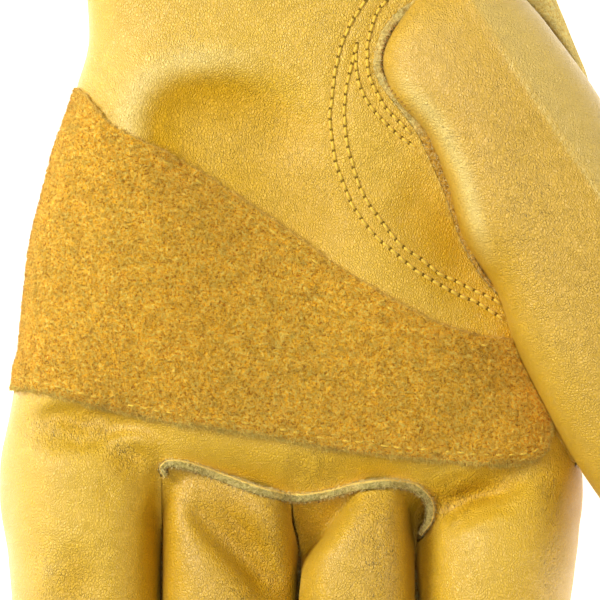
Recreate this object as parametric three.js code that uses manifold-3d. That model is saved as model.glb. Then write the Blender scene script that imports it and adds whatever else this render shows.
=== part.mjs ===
// A left-hand leather work glove, lying on its back with the palm up.
// Millimetres, +Z up, +Y towards the cuff, +X towards the thumb.
// The origin is on the surface that the glove rests on, under the middle of the palm.
import * as THREE from 'three';
import { mergeVertices } from 'three/addons/utils/BufferGeometryUtils.js';
import Module from 'manifold-3d';

const wasm = await Module();
wasm.setup();

// Driving dimensions
const WALL = 1.6;
const SEAM_GAP = 0.3;
const PATCH_THICKNESS = 1;
const WELT_WIDTH = 1.8;
const WELT_PROUD = 0.7;
const CUFF_END = 121;
const RING_STEP = 9.8;
const MOUTH_OVERRUN = 4;
const END_RINGS = 3;
const SIDE_LINE_STEP = 40;
const MERGE_DISTANCE = 1e-4;
const FINGER_SEAM_STEPS = 26;
const THUMB_SEAM_STEPS = 18;
const SIDE_SEAM_STEPS = 12;
const PATCH_EDGE_STEPS = 14;

// How far the cutting shapes reach past the glove
const SIDE_REACH = 130;
const PAST_CUFF = 8;
const BELOW_ALL = -20;
const ABOVE_ALL = 90;
const UP = new THREE.Vector3(0, 0, 1);

// Cross sections. Each row is one section at right angles to the limb:
// left and right edges, height of the widest line, top and bottom heights.
const HAND = {
  mouth: true,
  sides: 30,
  frontPower: 2.7,
  backPower: 3.2,
  tipLength: 12,
  rows: [
    { y: -58, left: -58, right: 53, seam: 15, top: 18, bottom: -1 },
    { y: -49, left: -61.6, right: 57.6, seam: 16, top: 22, bottom: -2 },
    { y: -42, left: -63, right: 59.2, seam: 16.5, top: 30, bottom: -2 },
    { y: -36, left: -63.2, right: 59.4, seam: 17, top: 34, bottom: -2 },
    { y: -24, left: -60.9, right: 57, seam: 17, top: 37, bottom: -2 },
    { y: -8, left: -59.4, right: 53.5, seam: 17, top: 39, bottom: -2 },
    { y: 12, left: -57.1, right: 53, seam: 17, top: 39, bottom: -2 },
    { y: 30, left: -52.7, right: 59.6, seam: 17, top: 38, bottom: -2 },
    { y: 45, left: -47.4, right: 62.2, seam: 17, top: 36, bottom: -2 },
    { y: 56, left: -45, right: 57.3, seam: 17, top: 34, bottom: -1 },
    { y: 66, left: -45.8, right: 53.8, seam: 17, top: 33, bottom: -1 },
    { y: 90, left: -49, right: 54.5, seam: 17, top: 33, bottom: -1 },
    { y: CUFF_END, left: -54, right: 58, seam: 17, top: 34, bottom: -1 },
  ],
};

const LITTLE_FINGER = {
  sides: 14,
  frontPower: 2.3,
  backPower: 2.4,
  tipLength: 13,
  rows: [
    { y: -109, left: -55, right: -35.5, seam: 21, top: 32, bottom: 9 },
    { y: -96, left: -58.5, right: -33, seam: 20, top: 33.5, bottom: 6 },
    { y: -80, left: -60.6, right: -31.4, seam: 18.5, top: 34.5, bottom: 2.5 },
    { y: -64, left: -61.7, right: -30.2, seam: 17, top: 34.5, bottom: -0.5 },
    { y: -45, left: -63.1, right: -29.8, seam: 17, top: 35, bottom: 2 },
    { y: -30, left: -62.2, right: -30.5, seam: 17, top: 35, bottom: 3 },
    { y: -16, left: -59, right: -34, seam: 17, top: 31, bottom: 4 },
  ],
};

const RING_FINGER = {
  sides: 14,
  frontPower: 2.3,
  backPower: 2.4,
  tipLength: 14,
  rows: [
    { y: -127, left: -25.5, right: -4.5, seam: 23, top: 34, bottom: 11 },
    { y: -112, left: -28.6, right: -1.6, seam: 21.5, top: 36, bottom: 7 },
    { y: -92, left: -29.4, right: -0.4, seam: 19, top: 36, bottom: 2.5 },
    { y: -72, left: -29.6, right: -0.3, seam: 17.5, top: 35, bottom: -0.5 },
    { y: -56, left: -29.4, right: -0.6, seam: 17, top: 36, bottom: 1 },
    { y: -42, left: -29.2, right: -1.8, seam: 17, top: 37, bottom: 3 },
    { y: -30, left: -27, right: -5, seam: 17, top: 31, bottom: 4 },
  ],
};

const MIDDLE_FINGER = {
  sides: 14,
  frontPower: 2.2,
  backPower: 2.4,
  tipLength: 14,
  rows: [
    { y: -132, left: 2.5, right: 23, seam: 24, top: 35, bottom: 12 },
    { y: -116, left: 0.4, right: 25.6, seam: 22, top: 38, bottom: 8 },
    { y: -94, left: 0.2, right: 26, seam: 19.5, top: 38.5, bottom: 2.5 },
    { y: -74, left: -0.5, right: 25.2, seam: 17.5, top: 38.5, bottom: -0.5 },
    { y: -60, left: -0.7, right: 24.6, seam: 17, top: 39.5, bottom: 0.5 },
    { y: -55, left: 1, right: 24.6, seam: 17, top: 39.5, bottom: 1 },
    { y: -50, left: 5, right: 24.2, seam: 17, top: 39, bottom: 2 },
    { y: -45, left: 8.6, right: 23.6, seam: 17, top: 38, bottom: 2.5 },
    { y: -40, left: 11, right: 22.8, seam: 17, top: 36, bottom: 3 },
    { y: -32, left: 12, right: 21, seam: 17, top: 30, bottom: 4 },
  ],
};

const INDEX_FINGER = {
  sides: 14,
  frontPower: 2.3,
  backPower: 2.4,
  tipLength: 14,
  rows: [
    { y: -120, left: 31, right: 51.5, seam: 22.5, top: 34, bottom: 10 },
    { y: -106, left: 27.6, right: 54.5, seam: 21, top: 36.5, bottom: 6.5 },
    { y: -86, left: 26.4, right: 56.6, seam: 18.5, top: 38, bottom: 2 },
    { y: -66, left: 25.4, right: 57.8, seam: 17, top: 38.5, bottom: -0.5 },
    { y: -52, left: 25, right: 59.4, seam: 17, top: 37.5, bottom: 1 },
    { y: -38, left: 26.5, right: 59.2, seam: 17, top: 34.5, bottom: 3 },
    { y: -24, left: 30, right: 55, seam: 17, top: 31, bottom: 4 },
  ],
};

// The thumb's rows are measured along its own axis, from its root outwards.
const THUMB = {
  sides: 16,
  frontPower: 2.7,
  backPower: 2.3,
  tipLength: 15,
  rootLength: 14,
  root: { x: 30, y: 73 },
  heading: 27,
  rows: [
    { y: -143, left: -18, right: 7.5, seam: 29, top: 40, bottom: 17 },
    { y: -128, left: -20.8, right: 11.6, seam: 29, top: 44, bottom: 14 },
    { y: -112, left: -23, right: 14.2, seam: 30, top: 46.5, bottom: 12 },
    { y: -98, left: -23.6, right: 15.4, seam: 31.5, top: 48, bottom: 11 },
    { y: -82, left: -23.4, right: 16.2, seam: 33, top: 49.5, bottom: 11 },
    { y: -68, left: -21.6, right: 16.5, seam: 35.5, top: 50, bottom: 11 },
    { y: -56, left: -22.8, right: 16.5, seam: 36.5, top: 49.5, bottom: 10 },
    { y: -42, left: -20.2, right: 16.2, seam: 37, top: 48.5, bottom: 9 },
    { y: -32, left: -19.6, right: 14.8, seam: 36.5, top: 47.5, bottom: 9 },
    { y: -20, left: -22.6, right: 12.8, seam: 34.5, top: 45, bottom: 9 },
    { y: -10, left: -18.6, right: 9.5, seam: 32, top: 42, bottom: 10 },
    { y: -2, left: -6, right: 3, seam: 30, top: 38.5, bottom: 12 },
  ],
};

// Dents and swellings of the palm side. depth is downwards, and a swelling's is negative.
const RELIEF = [
  { name: 'heel dent', x: -4, y: 24, length: 20, width: 17, turn: -40, depth: 8 },
  { name: 'heel dent, upper end', x: -19, y: 37, length: 12, width: 9, turn: 20, depth: 5 },
  { name: 'heel roll', x: -36, y: 45, length: 15, width: 7, turn: 50, depth: -1.6 },
  { name: 'slope to the thumb', x: 33, y: 15, length: 22, width: 12, turn: -62, depth: 4.6 },
  { name: 'outer palm swelling', x: -36, y: 4, length: 24, width: 16, turn: 75, depth: -1.8 },
  { name: 'palm hollow', x: 2, y: -8, length: 26, width: 16, turn: 20, depth: 1.5 },
  { name: 'hollow below the patch', x: -47, y: -27, length: 12, width: 4.6, turn: 0, depth: 6 },
  { name: 'crease over the ring finger', x: -13, y: -39, length: 15, width: 6.5, turn: -10, depth: 3.4 },
  { name: 'crease over the middle finger', x: 15, y: -39, length: 12, width: 6, turn: 5, depth: 2 },
  { name: 'little finger swelling', x: -45, y: -48, length: 14, width: 10, turn: 90, depth: -1.2 },
  { name: 'ring finger valley, upper', x: -17, y: -48, length: 10, width: 6, turn: -40, depth: 7 },
  { name: 'ring finger valley, lower', x: -9, y: -58, length: 11, width: 4.8, turn: -55, depth: 7.2 },
  { name: 'little and ring finger cleft', x: -30.2, y: -47, length: 10, width: 1.9, turn: 90, depth: 5 },
  { name: 'middle and index finger cleft', x: 25.6, y: -52, length: 7, width: 2.6, turn: 90, depth: 5 },
  { name: 'index finger fold', x: 36, y: -42, length: 13, width: 3.6, turn: 24, depth: 7 },
  { name: 'index finger swelling', x: 42, y: -55, length: 12, width: 9, turn: 80, depth: -1.4 },
];

// Outlines on the palm side, seen from above, as rows of corners that a smooth curve joins.
const PATCH_TOP = [
  { x: -66, y: 54 },
  { x: -48, y: 45.5 },
  { x: -39.8, y: 37.4 },
  { x: -25, y: 30 },
  { x: -9, y: 19.6 },
  { x: 6.8, y: 8.5 },
  { x: 20.4, y: 0 },
  { x: 32.5, y: -5.7 },
  { x: 44, y: -8 },
  { x: 54, y: -8 },
];

const PATCH_BOTTOM = [
  { x: 54, y: -26 },
  { x: 52.4, y: -33 },
  { x: 45, y: -35.2 },
  { x: 28.5, y: -34.3 },
  { x: 8, y: -32 },
  { x: -11, y: -28.5 },
  { x: -29, y: -26 },
  { x: -43.4, y: -23 },
  { x: -54.5, y: -20 },
  { x: -68, y: -18.4 },
];

const FINGER_SEAM = [
  { x: -29.4, y: -38 },
  { x: -30.2, y: -35.6 },
  { x: -28, y: -33.8 },
  { x: -23, y: -34.5 },
  { x: -16.4, y: -36.8 },
  { x: -8.5, y: -39.6 },
  { x: -1, y: -41.2 },
  { x: 6, y: -40.4 },
  { x: 12, y: -38.8 },
  { x: 19, y: -38.1 },
  { x: 24.9, y: -39.2 },
  { x: 28.3, y: -42.6 },
  { x: 28.5, y: -46.8 },
  { x: 26.4, y: -50.5 },
];

const THUMB_SEAM = [
  { x: 34, y: 67.5 },
  { x: 25.3, y: 64.2 },
  { x: 21, y: 61.5 },
  { x: 17.4, y: 57.2 },
  { x: 15.6, y: 50.6 },
  { x: 17, y: 46 },
  { x: 21, y: 40.6 },
  { x: 24.9, y: 35.3 },
  { x: 28.1, y: 28.5 },
  { x: 31, y: 21.9 },
  { x: 33.8, y: 13.8 },
  { x: 37.6, y: 6.6 },
  { x: 41.6, y: 1.6 },
];

const SIDE_SEAM = [
  { x: 66, y: 38 },
  { x: 60.4, y: 47 },
  { x: 54, y: 57 },
  { x: 47.4, y: 64 },
  { x: 42.5, y: 72 },
  { x: 43, y: 84 },
  { x: 46, y: 100 },
  { x: 50, y: CUFF_END + PAST_CUFF },
];

// The rest of the thumb's outline on the palm, which the thumb hides
const UNDER_THUMB = [
  { x: 47, y: -1 },
  { x: 54, y: 0 },
  { x: 80, y: 10 },
  { x: 80, y: 30 },
  { x: 60, y: 42 },
  { x: 50, y: 55 },
  { x: 40, y: 64 },
];

// The line between the ring and middle finger fronts
const RING_SPLIT = { topX: -2.4, bottomX: -0.1, topY: -40, bottomY: -62 };
const LITTLE_RING_X = -29.55;
const MIDDLE_INDEX_X = 24.8;
const MIDDLE_INDEX_TOP = -52.5;
const BEYOND_FINGERTIPS = -150;
const FINGER_SEAM_TOP = -30;

// The line between the panels on the sides of the hand and fingers
const SIDE_LINE = [
  { y: -150, height: 26 },
  { y: -120, height: 22.5 },
  { y: -90, height: 19 },
  { y: -60, height: 17 },
  { y: 140, height: 17 },
];

const COLUMNS = ['left', 'right', 'seam', 'top', 'bottom'];

function sectionTrack(limb) {
  const stations = limb.rows.map((row) => row.y);
  const values = limb.rows.flatMap((row) => COLUMNS.map((column) => row[column]));
  return new THREE.CubicInterpolant(stations, values, COLUMNS.length);
}

// A dent is a smooth oval hollow, longer along its own direction than across it.
function reliefDepth(x, y) {
  let total = 0;
  for (const dent of RELIEF) {
    const turn = THREE.MathUtils.degToRad(dent.turn);
    const dx = x - dent.x;
    const dy = y - dent.y;
    const along = (dx * Math.cos(turn) + dy * Math.sin(turn)) / dent.length;
    const across = (dy * Math.cos(turn) - dx * Math.sin(turn)) / dent.width;
    total += dent.depth * Math.exp(-(along * along + across * across));
  }
  return total;
}

// The rings of a limb from its tip to its start. scale shrinks a ring on the rounded ends.
function ringStations(limb) {
  const tip = limb.rows[0].y;
  const start = limb.rows[limb.rows.length - 1].y;
  const rootLength = limb.rootLength ?? 0;
  const bodyStart = tip + limb.tipLength;
  const bodyEnd = start - rootLength;
  const stations = [];
  for (let step = 1; step < END_RINGS; step += 1) {
    const angle = (step / END_RINGS) * Math.PI / 2;
    stations.push({ y: tip + limb.tipLength * (1 - Math.cos(angle)), scale: Math.sin(angle) });
  }
  const bodySteps = Math.round((bodyEnd - bodyStart) / RING_STEP);
  for (let step = 0; step <= bodySteps; step += 1) {
    stations.push({ y: bodyStart + (bodyEnd - bodyStart) * step / bodySteps, scale: 1 });
  }
  for (let step = END_RINGS - 1; step > 0 && rootLength > 0; step -= 1) {
    const angle = (step / END_RINGS) * Math.PI / 2;
    stations.push({ y: start - rootLength * (1 - Math.cos(angle)), scale: Math.sin(angle) });
  }
  return stations;
}

// Turns and moves a point from a limb's own axis to its place on the hand.
function placed(limb, point) {
  if (limb.root) {
    point.applyAxisAngle(UP, THREE.MathUtils.degToRad(limb.heading));
    point.x += limb.root.x;
    point.y += limb.root.y;
  }
  return point;
}

function sectionPoint(limb, track, station, angle) {
  const [left, right, seam, top, bottom] = track.evaluate(station.y);
  const cosine = Math.cos(angle);
  const sine = Math.sin(angle);
  const power = 2 / (sine > 0 ? limb.frontPower : limb.backPower);
  const across = Math.sign(cosine) * Math.abs(cosine) ** power;
  const up = Math.sign(sine) * Math.abs(sine) ** power;
  const x = (left + right) / 2 + across * station.scale * (right - left) / 2;
  const reach = up > 0 ? top - seam : seam - bottom;
  let z = seam + up * station.scale * reach;
  if (up > 0 && !limb.root) {
    z -= reliefDepth(x, station.y) * up * station.scale;
  }
  return placed(limb, new THREE.Vector3(x, station.y, Math.max(z, 0)));
}

// A closed tube through a limb's rings, moved inwards by inset at right angles to its surface.
function limbSolid(limb, inset) {
  const track = sectionTrack(limb);
  const stations = ringStations(limb);
  const sides = limb.sides;
  const axis = placed(limb, new THREE.Vector3(0, 1, 0)).sub(placed(limb, new THREE.Vector3(0, 0, 0)));
  const rings = stations.map((station) => {
    const ring = [];
    for (let side = 0; side < sides; side += 1) {
      ring.push(sectionPoint(limb, track, station, (side / sides) * 2 * Math.PI));
    }
    return ring;
  });
  const endPoint = (y) => {
    const [left, right, seam] = track.evaluate(y);
    return placed(limb, new THREE.Vector3((left + right) / 2, y, seam));
  };
  const tipPoint = endPoint(limb.rows[0].y);
  const startPoint = endPoint(limb.rows[limb.rows.length - 1].y);
  const points = [tipPoint.clone().addScaledVector(axis, inset)];
  rings.forEach((ring, index) => {
    const before = rings[Math.max(index - 1, 0)];
    const after = rings[Math.min(index + 1, rings.length - 1)];
    ring.forEach((point, side) => {
      const next = ring[(side + 1) % sides];
      const previous = ring[(side + sides - 1) % sides];
      const around = next.clone().sub(previous);
      const along = after[side].clone().sub(before[side]);
      if (index === 0) {
        along.copy(after[side]).sub(tipPoint);
      }
      if (index === rings.length - 1 && limb.rootLength) {
        along.copy(startPoint).sub(before[side]);
      }
      const outward = around.cross(along).normalize();
      const moved = point.clone().addScaledVector(outward, inset);
      if (limb.mouth && index === rings.length - 1 && inset !== 0) {
        moved.addScaledVector(axis, MOUTH_OVERRUN);
      }
      points.push(moved);
    });
  });
  const overrun = limb.mouth && inset !== 0 ? MOUTH_OVERRUN : 0;
  points.push(startPoint.addScaledVector(axis, limb.rootLength ? -inset : overrun));
  return closedSolid(points, ringFaces(rings.length, sides));
}

// Corner numbers of the faces: a fan at the tip, bands between the rings, a fan at the start.
function ringFaces(ringCount, sides) {
  const faces = [];
  const last = ringCount * sides + 1;
  const corner = (ring, side) => 1 + ring * sides + (side % sides);
  for (let side = 0; side < sides; side += 1) {
    faces.push(0, corner(0, side), corner(0, side + 1));
    for (let ring = 0; ring < ringCount - 1; ring += 1) {
      const a = corner(ring, side);
      const b = corner(ring, side + 1);
      const c = corner(ring + 1, side + 1);
      const d = corner(ring + 1, side);
      faces.push(a, d, c, a, c, b);
    }
    faces.push(last, corner(ringCount - 1, side + 1), corner(ringCount - 1, side));
  }
  return faces;
}

function closedSolid(points, faces) {
  const geometry = new THREE.BufferGeometry().setFromPoints(points);
  geometry.setIndex(faces);
  return toSolid(geometry);
}

function toSolid(geometry) {
  geometry.deleteAttribute('normal');
  geometry.deleteAttribute('uv');
  const merged = mergeVertices(geometry, MERGE_DISTANCE);
  return new wasm.Manifold(new wasm.Mesh({
    numProp: 3,
    vertProperties: new Float32Array(merged.attributes.position.array),
    triVerts: new Uint32Array(merged.index.array),
  }));
}

function toMesh(name, solidPiece, look) {
  const mesh = solidPiece.getMesh();
  const geometry = new THREE.BufferGeometry();
  geometry.setAttribute('position', new THREE.BufferAttribute(mesh.vertProperties, 3));
  geometry.setIndex(new THREE.BufferAttribute(mesh.triVerts, 1));
  const piece = new THREE.Mesh(geometry, new THREE.MeshStandardMaterial(look));
  piece.name = name;
  return piece;
}

function union(solids) {
  return solids.reduce((joined, next) => joined.add(next));
}

// The body with the most material, without the offcuts that the seams leave.
function mainBody(solidPiece) {
  const bodies = solidPiece.decompose();
  return bodies.reduce((best, next) => (next.volume() > best.volume() ? next : best));
}

function smoothLine(rows, steps) {
  const corners = rows.map((row) => new THREE.Vector2(row.x, row.y));
  return new THREE.SplineCurve(corners).getSpacedPoints(steps);
}

// Moves each point of a line to its left by a distance.
function besideLine(line, distance) {
  return line.map((point, index) => {
    const before = line[Math.max(index - 1, 0)];
    const after = line[Math.min(index + 1, line.length - 1)];
    const direction = after.clone().sub(before).normalize();
    return new THREE.Vector2(point.x - direction.y * distance, point.y + direction.x * distance);
  });
}

// An upright prism over an outline seen from above.
function prism(outline, floor = BELOW_ALL, ceiling = ABOVE_ALL) {
  const shape = new THREE.Shape(outline);
  const geometry = new THREE.ExtrudeGeometry(shape, { depth: ceiling - floor, bevelEnabled: false });
  geometry.translate(0, 0, floor);
  return toSolid(geometry);
}

// The prism between two lines beside a seam, at distances measured to its left.
function strip(line, from, to) {
  return prism([...besideLine(line, from), ...besideLine(line, to).reverse()]);
}

// Everything above the line where the front and back panels meet, moved up by lift.
function aboveSideLine(lift) {
  const heights = new THREE.CubicInterpolant(
    SIDE_LINE.map((row) => row.y),
    SIDE_LINE.map((row) => row.height),
    1,
  );
  const low = SIDE_LINE[0].y;
  const high = SIDE_LINE[SIDE_LINE.length - 1].y;
  const steps = Math.round((high - low) / SIDE_LINE_STEP);
  const outline = [];
  for (let step = 0; step <= steps; step += 1) {
    const y = low + (high - low) * step / steps;
    outline.push(new THREE.Vector2(y, heights.evaluate(y)[0] + lift));
  }
  outline.push(new THREE.Vector2(high, ABOVE_ALL), new THREE.Vector2(low, ABOVE_ALL));
  const geometry = new THREE.ExtrudeGeometry(new THREE.Shape(outline), {
    depth: 2 * SIDE_REACH,
    bevelEnabled: false,
  });
  // The outline is drawn in y and z, so its three axes are turned round once.
  geometry.translate(0, 0, -SIDE_REACH);
  geometry.applyMatrix4(new THREE.Matrix4().makeBasis(
    new THREE.Vector3(0, 1, 0),
    new THREE.Vector3(0, 0, 1),
    new THREE.Vector3(1, 0, 0),
  ));
  return toSolid(geometry);
}

// The whole hand without the thumb, moved inwards by inset.
function handSolid(inset) {
  const limbs = [HAND, LITTLE_FINGER, RING_FINGER, MIDDLE_FINGER, INDEX_FINGER];
  return union(limbs.map((limb) => limbSolid(limb, inset)));
}

const LEATHER = { color: 0xe4bf55, roughness: 0.5, metalness: 0 };
const SUEDE = { color: 0xc9952f, roughness: 0.95, metalness: 0 };
const SPLIT = { color: 0xdcc06a, roughness: 0.85, metalness: 0 };
const RAW_EDGE = { color: 0xb3a766, roughness: 0.9, metalness: 0 };

const handOuter = handSolid(0);
const handInner = handSolid(WALL);
const handClear = handSolid(-SEAM_GAP);
const thumbOuter = limbSolid(THUMB, 0);
const thumbInner = limbSolid(THUMB, WALL);
const thumbClear = limbSolid(THUMB, -SEAM_GAP);

const corner = (x, y) => new THREE.Vector2(x, y);
const corners = (rows) => rows.map((row) => corner(row.x, row.y));
const fingerSeam = smoothLine(FINGER_SEAM, FINGER_SEAM_STEPS);
const thumbSeam = smoothLine(THUMB_SEAM, THUMB_SEAM_STEPS);
const sideSeam = smoothLine(SIDE_SEAM, SIDE_SEAM_STEPS);

const beyondSideSeam = [corner(SIDE_REACH, CUFF_END + PAST_CUFF), corner(SIDE_REACH, SIDE_SEAM[0].y)];
const backTurn = prism([...besideLine(sideSeam, -SEAM_GAP / 2), ...beyondSideSeam]);
const backTurnClear = prism([...besideLine(sideSeam, SEAM_GAP / 2), ...beyondSideSeam]);

const handShell = handOuter.subtract(handInner);
const shell = handShell.subtract(thumbClear);
const frontShell = shell.intersect(aboveSideLine(SEAM_GAP / 2)).subtract(backTurnClear);
const palmSide = aboveSideLine(-SEAM_GAP / 2).subtract(backTurn);
const backShell = shell.subtract(palmSide);

// The fronts of the two middle fingers lie below the finger seam.
const fingerZone = prism([
  ...fingerSeam,
  corner(MIDDLE_INDEX_X, MIDDLE_INDEX_TOP),
  corner(MIDDLE_INDEX_X, BEYOND_FINGERTIPS),
  corner(LITTLE_RING_X, BEYOND_FINGERTIPS),
]);
const fingerChannel = strip(fingerSeam, SEAM_GAP, -WELT_WIDTH - SEAM_GAP);
const splitLine = [
  corner(RING_SPLIT.topX, FINGER_SEAM_TOP),
  corner(RING_SPLIT.topX, RING_SPLIT.topY),
  corner(RING_SPLIT.bottomX, RING_SPLIT.bottomY),
  corner(RING_SPLIT.bottomX, BEYOND_FINGERTIPS),
];
const ringSide = prism([
  ...besideLine(splitLine, -SEAM_GAP / 2),
  corner(-SIDE_REACH, BEYOND_FINGERTIPS),
  corner(-SIDE_REACH, FINGER_SEAM_TOP),
]);
const middleSide = prism([
  ...besideLine(splitLine, SEAM_GAP / 2),
  corner(SIDE_REACH, BEYOND_FINGERTIPS),
  corner(SIDE_REACH, FINGER_SEAM_TOP),
]);

// The thumb's leather reaches from its rounded form to the welt, in the palm's surface.
const thumbCutout = prism([...besideLine(thumbSeam, -SEAM_GAP), ...corners(UNDER_THUMB)]);
const thumbZone = prism([...besideLine(thumbSeam, WELT_WIDTH + SEAM_GAP), ...corners(UNDER_THUMB)])
  .intersect(aboveSideLine(SEAM_GAP / 2));
const thumbShell = thumbOuter.subtract(thumbInner);
const thumb = union([
  thumbShell.subtract(handClear),
  thumbShell.subtract(handInner).intersect(thumbZone),
  handShell.subtract(thumbInner).intersect(thumbZone),
]);

const palm = frontShell.subtract(fingerZone).subtract(fingerChannel).subtract(thumbCutout);
const fingerFronts = frontShell.intersect(fingerZone).subtract(fingerChannel);

const weltOuter = handSolid(-WELT_PROUD).intersect(aboveSideLine(SEAM_GAP / 2));
const weltStock = weltOuter.subtract(handInner).subtract(thumbClear);
const fingerWelt = weltStock.intersect(strip(fingerSeam, 0, -WELT_WIDTH));
const thumbWelt = weltStock.intersect(strip(thumbSeam, 0, WELT_WIDTH)).subtract(backTurnClear);

const patchOutline = prism([
  ...smoothLine(PATCH_TOP, PATCH_EDGE_STEPS),
  ...smoothLine(PATCH_BOTTOM, PATCH_EDGE_STEPS),
]);
const patch = handSolid(-SEAM_GAP - PATCH_THICKNESS)
  .subtract(handClear)
  .subtract(thumbClear)
  .intersect(patchOutline)
  .intersect(aboveSideLine(SEAM_GAP / 2))
  .subtract(fingerZone)
  .subtract(thumbCutout);

const group = new THREE.Group();
group.add(
  toMesh('palm', mainBody(palm), LEATHER),
  toMesh('back', mainBody(backShell), SPLIT),
  toMesh('ring_front', mainBody(fingerFronts.intersect(ringSide)), LEATHER),
  toMesh('middle_front', mainBody(fingerFronts.intersect(middleSide)), LEATHER),
  toMesh('thumb', mainBody(thumb), LEATHER),
  toMesh('palm_patch', mainBody(patch), SUEDE),
  toMesh('ring_welt', mainBody(fingerWelt.intersect(ringSide)), RAW_EDGE),
  toMesh('middle_welt', mainBody(fingerWelt.intersect(middleSide)), RAW_EDGE),
  toMesh('thumb_welt', mainBody(thumbWelt), RAW_EDGE),
);

export default group;
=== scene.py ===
import math

import bpy
import numpy as np
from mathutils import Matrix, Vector
from mathutils.bvhtree import BVHTree


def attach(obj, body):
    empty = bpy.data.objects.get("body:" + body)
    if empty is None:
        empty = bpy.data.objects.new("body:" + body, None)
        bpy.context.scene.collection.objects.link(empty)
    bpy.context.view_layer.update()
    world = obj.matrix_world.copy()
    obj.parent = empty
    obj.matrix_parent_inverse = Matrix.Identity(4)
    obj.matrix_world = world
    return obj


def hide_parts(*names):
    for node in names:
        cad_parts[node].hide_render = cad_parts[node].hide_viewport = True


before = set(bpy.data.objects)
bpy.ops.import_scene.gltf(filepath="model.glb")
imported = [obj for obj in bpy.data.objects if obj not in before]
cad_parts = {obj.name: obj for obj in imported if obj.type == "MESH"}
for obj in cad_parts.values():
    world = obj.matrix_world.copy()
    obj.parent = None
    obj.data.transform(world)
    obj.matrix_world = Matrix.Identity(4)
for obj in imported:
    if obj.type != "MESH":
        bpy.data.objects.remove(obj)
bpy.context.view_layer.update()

# Sizes are in millimetres, in the frame of the model: +X towards the thumb, +Y towards
# the cuff, +Z up out of the palm. Meshes are turned into metres when they are made.
MM = 0.001
WALL = 1.5
PATCH_WALL = 0.95
PATCH_LIFT = 1.15
CUFF_END = 121.0
HEM = 12
HEM_WALL = 1.2
SEAM_GAP = 0.3
WELT_GAP = 0.06
WELT_WIDTH = 1.8

# The height that a welt starts from where no leather lies under it
WELT_HEIGHT = 33.0

# Radii that the edges of the panels turn in with
SIDE_ROLL = 1.3
WELT_ROLL = 0.36
THUMB_ROLL = 1.4
CLEFT_ROLL = 0.4
SPLIT_ROLL = 0.45
PATCH_ROLL = 0.4

# Threads and needle holes
THREAD = 0.64
PATCH_THREAD = 0.5
PATCH_STITCH_INSET = 2.3
HOLE_RADIUS = 0.46

# Small forms of the leather: the dent at the heel of the hand, its lip and the thumb's ridge
DENT_DEPTH = 0.7
DENT_LIP = 0.2
RIDGE_HEIGHT = 0.28

# The spacing of points along a welt, the slimmest a limb gets and the farthest its field counts
FINE = 0.35
SLIMMEST = 0.3
FAR = 60.0

# Cross sections: y, left edge, right edge, height of the widest line, top, bottom.
HAND = {
    "powers": (2.7, 3.2),
    "tip": 12,
    "rows": [
        (-58, -58, 53, 15, 18, -1),
        (-49, -61.6, 57.6, 16, 22, -2),
        (-42, -63, 59.2, 16.5, 30, -2),
        (-36, -63.2, 59.4, 17, 34, -2),
        (-24, -60.9, 57, 17, 37, -2),
        (-8, -59.4, 53.5, 17, 39, -2),
        (12, -57.1, 53, 17, 39, -2),
        (30, -52.7, 59.6, 17, 38, -2),
        (45, -47.9, 62.2, 17, 36, -2),
        (56, -45, 58.3, 17, 34, -1),
        (66, -45.8, 54.4, 17, 33, -1),
        (90, -49, 54.5, 17, 33, -1),
        (121, -54, 58, 17, 34, -1),
    ],
}
LITTLE = {
    "powers": (2.3, 2.4),
    "tip": 13,
    "rows": [
        (-109, -55, -35.5, 21, 32, 9),
        (-96, -58.5, -33, 20, 33.5, 6),
        (-80, -60.6, -30.2, 18.5, 34.5, 2.5),
        (-64, -61.7, -29.8, 17, 34.5, -0.5),
        (-45, -63.1, -29.8, 17, 35, 2),
        (-30, -62.2, -30.5, 17, 35, 3),
        (-16, -59, -34, 17, 31, 4),
    ],
}
RING = {
    "powers": (2.8, 2.4),
    "tip": 14,
    "rows": [
        (-127, -25.5, -4.5, 23, 34, 11),
        (-112, -28.6, -1.6, 21.5, 36, 7),
        (-92, -29.4, -0.4, 19, 36, 2.5),
        (-72, -29.9, -0.3, 17.5, 35, -0.5),
        (-56, -29.7, -0.6, 17, 36, 1),
        (-42, -29.2, -1.8, 17, 37, 3),
        (-30, -27, -5, 17, 31, 4),
    ],
}
MIDDLE = {
    "powers": (2.8, 2.4),
    "tip": 14,
    "rows": [
        (-132, 2.5, 23, 24, 35, 12),
        (-116, 0.4, 25.6, 22, 38, 8),
        (-94, 0.2, 26, 19.5, 38.5, 2.5),
        (-74, -0.5, 25.2, 17.5, 38.5, -0.5),
        (-60, -0.7, 24.8, 17, 39.5, 0.5),
        (-55, 1, 24.6, 17, 39.5, 1),
        (-50, 5, 24.2, 17, 39, 2),
        (-45, 8.6, 23.6, 17, 38, 2.5),
        (-40, 11, 22.8, 17, 36, 3),
        (-32, 12, 21, 17, 30, 4),
    ],
}
INDEX = {
    "powers": (2.3, 2.4),
    "tip": 14,
    "rows": [
        (-120, 31, 51.5, 22.5, 34, 10),
        (-106, 27.6, 54.5, 21, 36.5, 6.5),
        (-86, 26.4, 56.6, 18.5, 38, 2),
        (-66, 25.4, 57.8, 17, 38.5, -0.5),
        (-52, 25, 59.4, 17, 37.5, 1),
        (-38, 26.5, 59.2, 17, 34.5, 3),
        (-24, 30, 55, 17, 31, 4),
    ],
}
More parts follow.
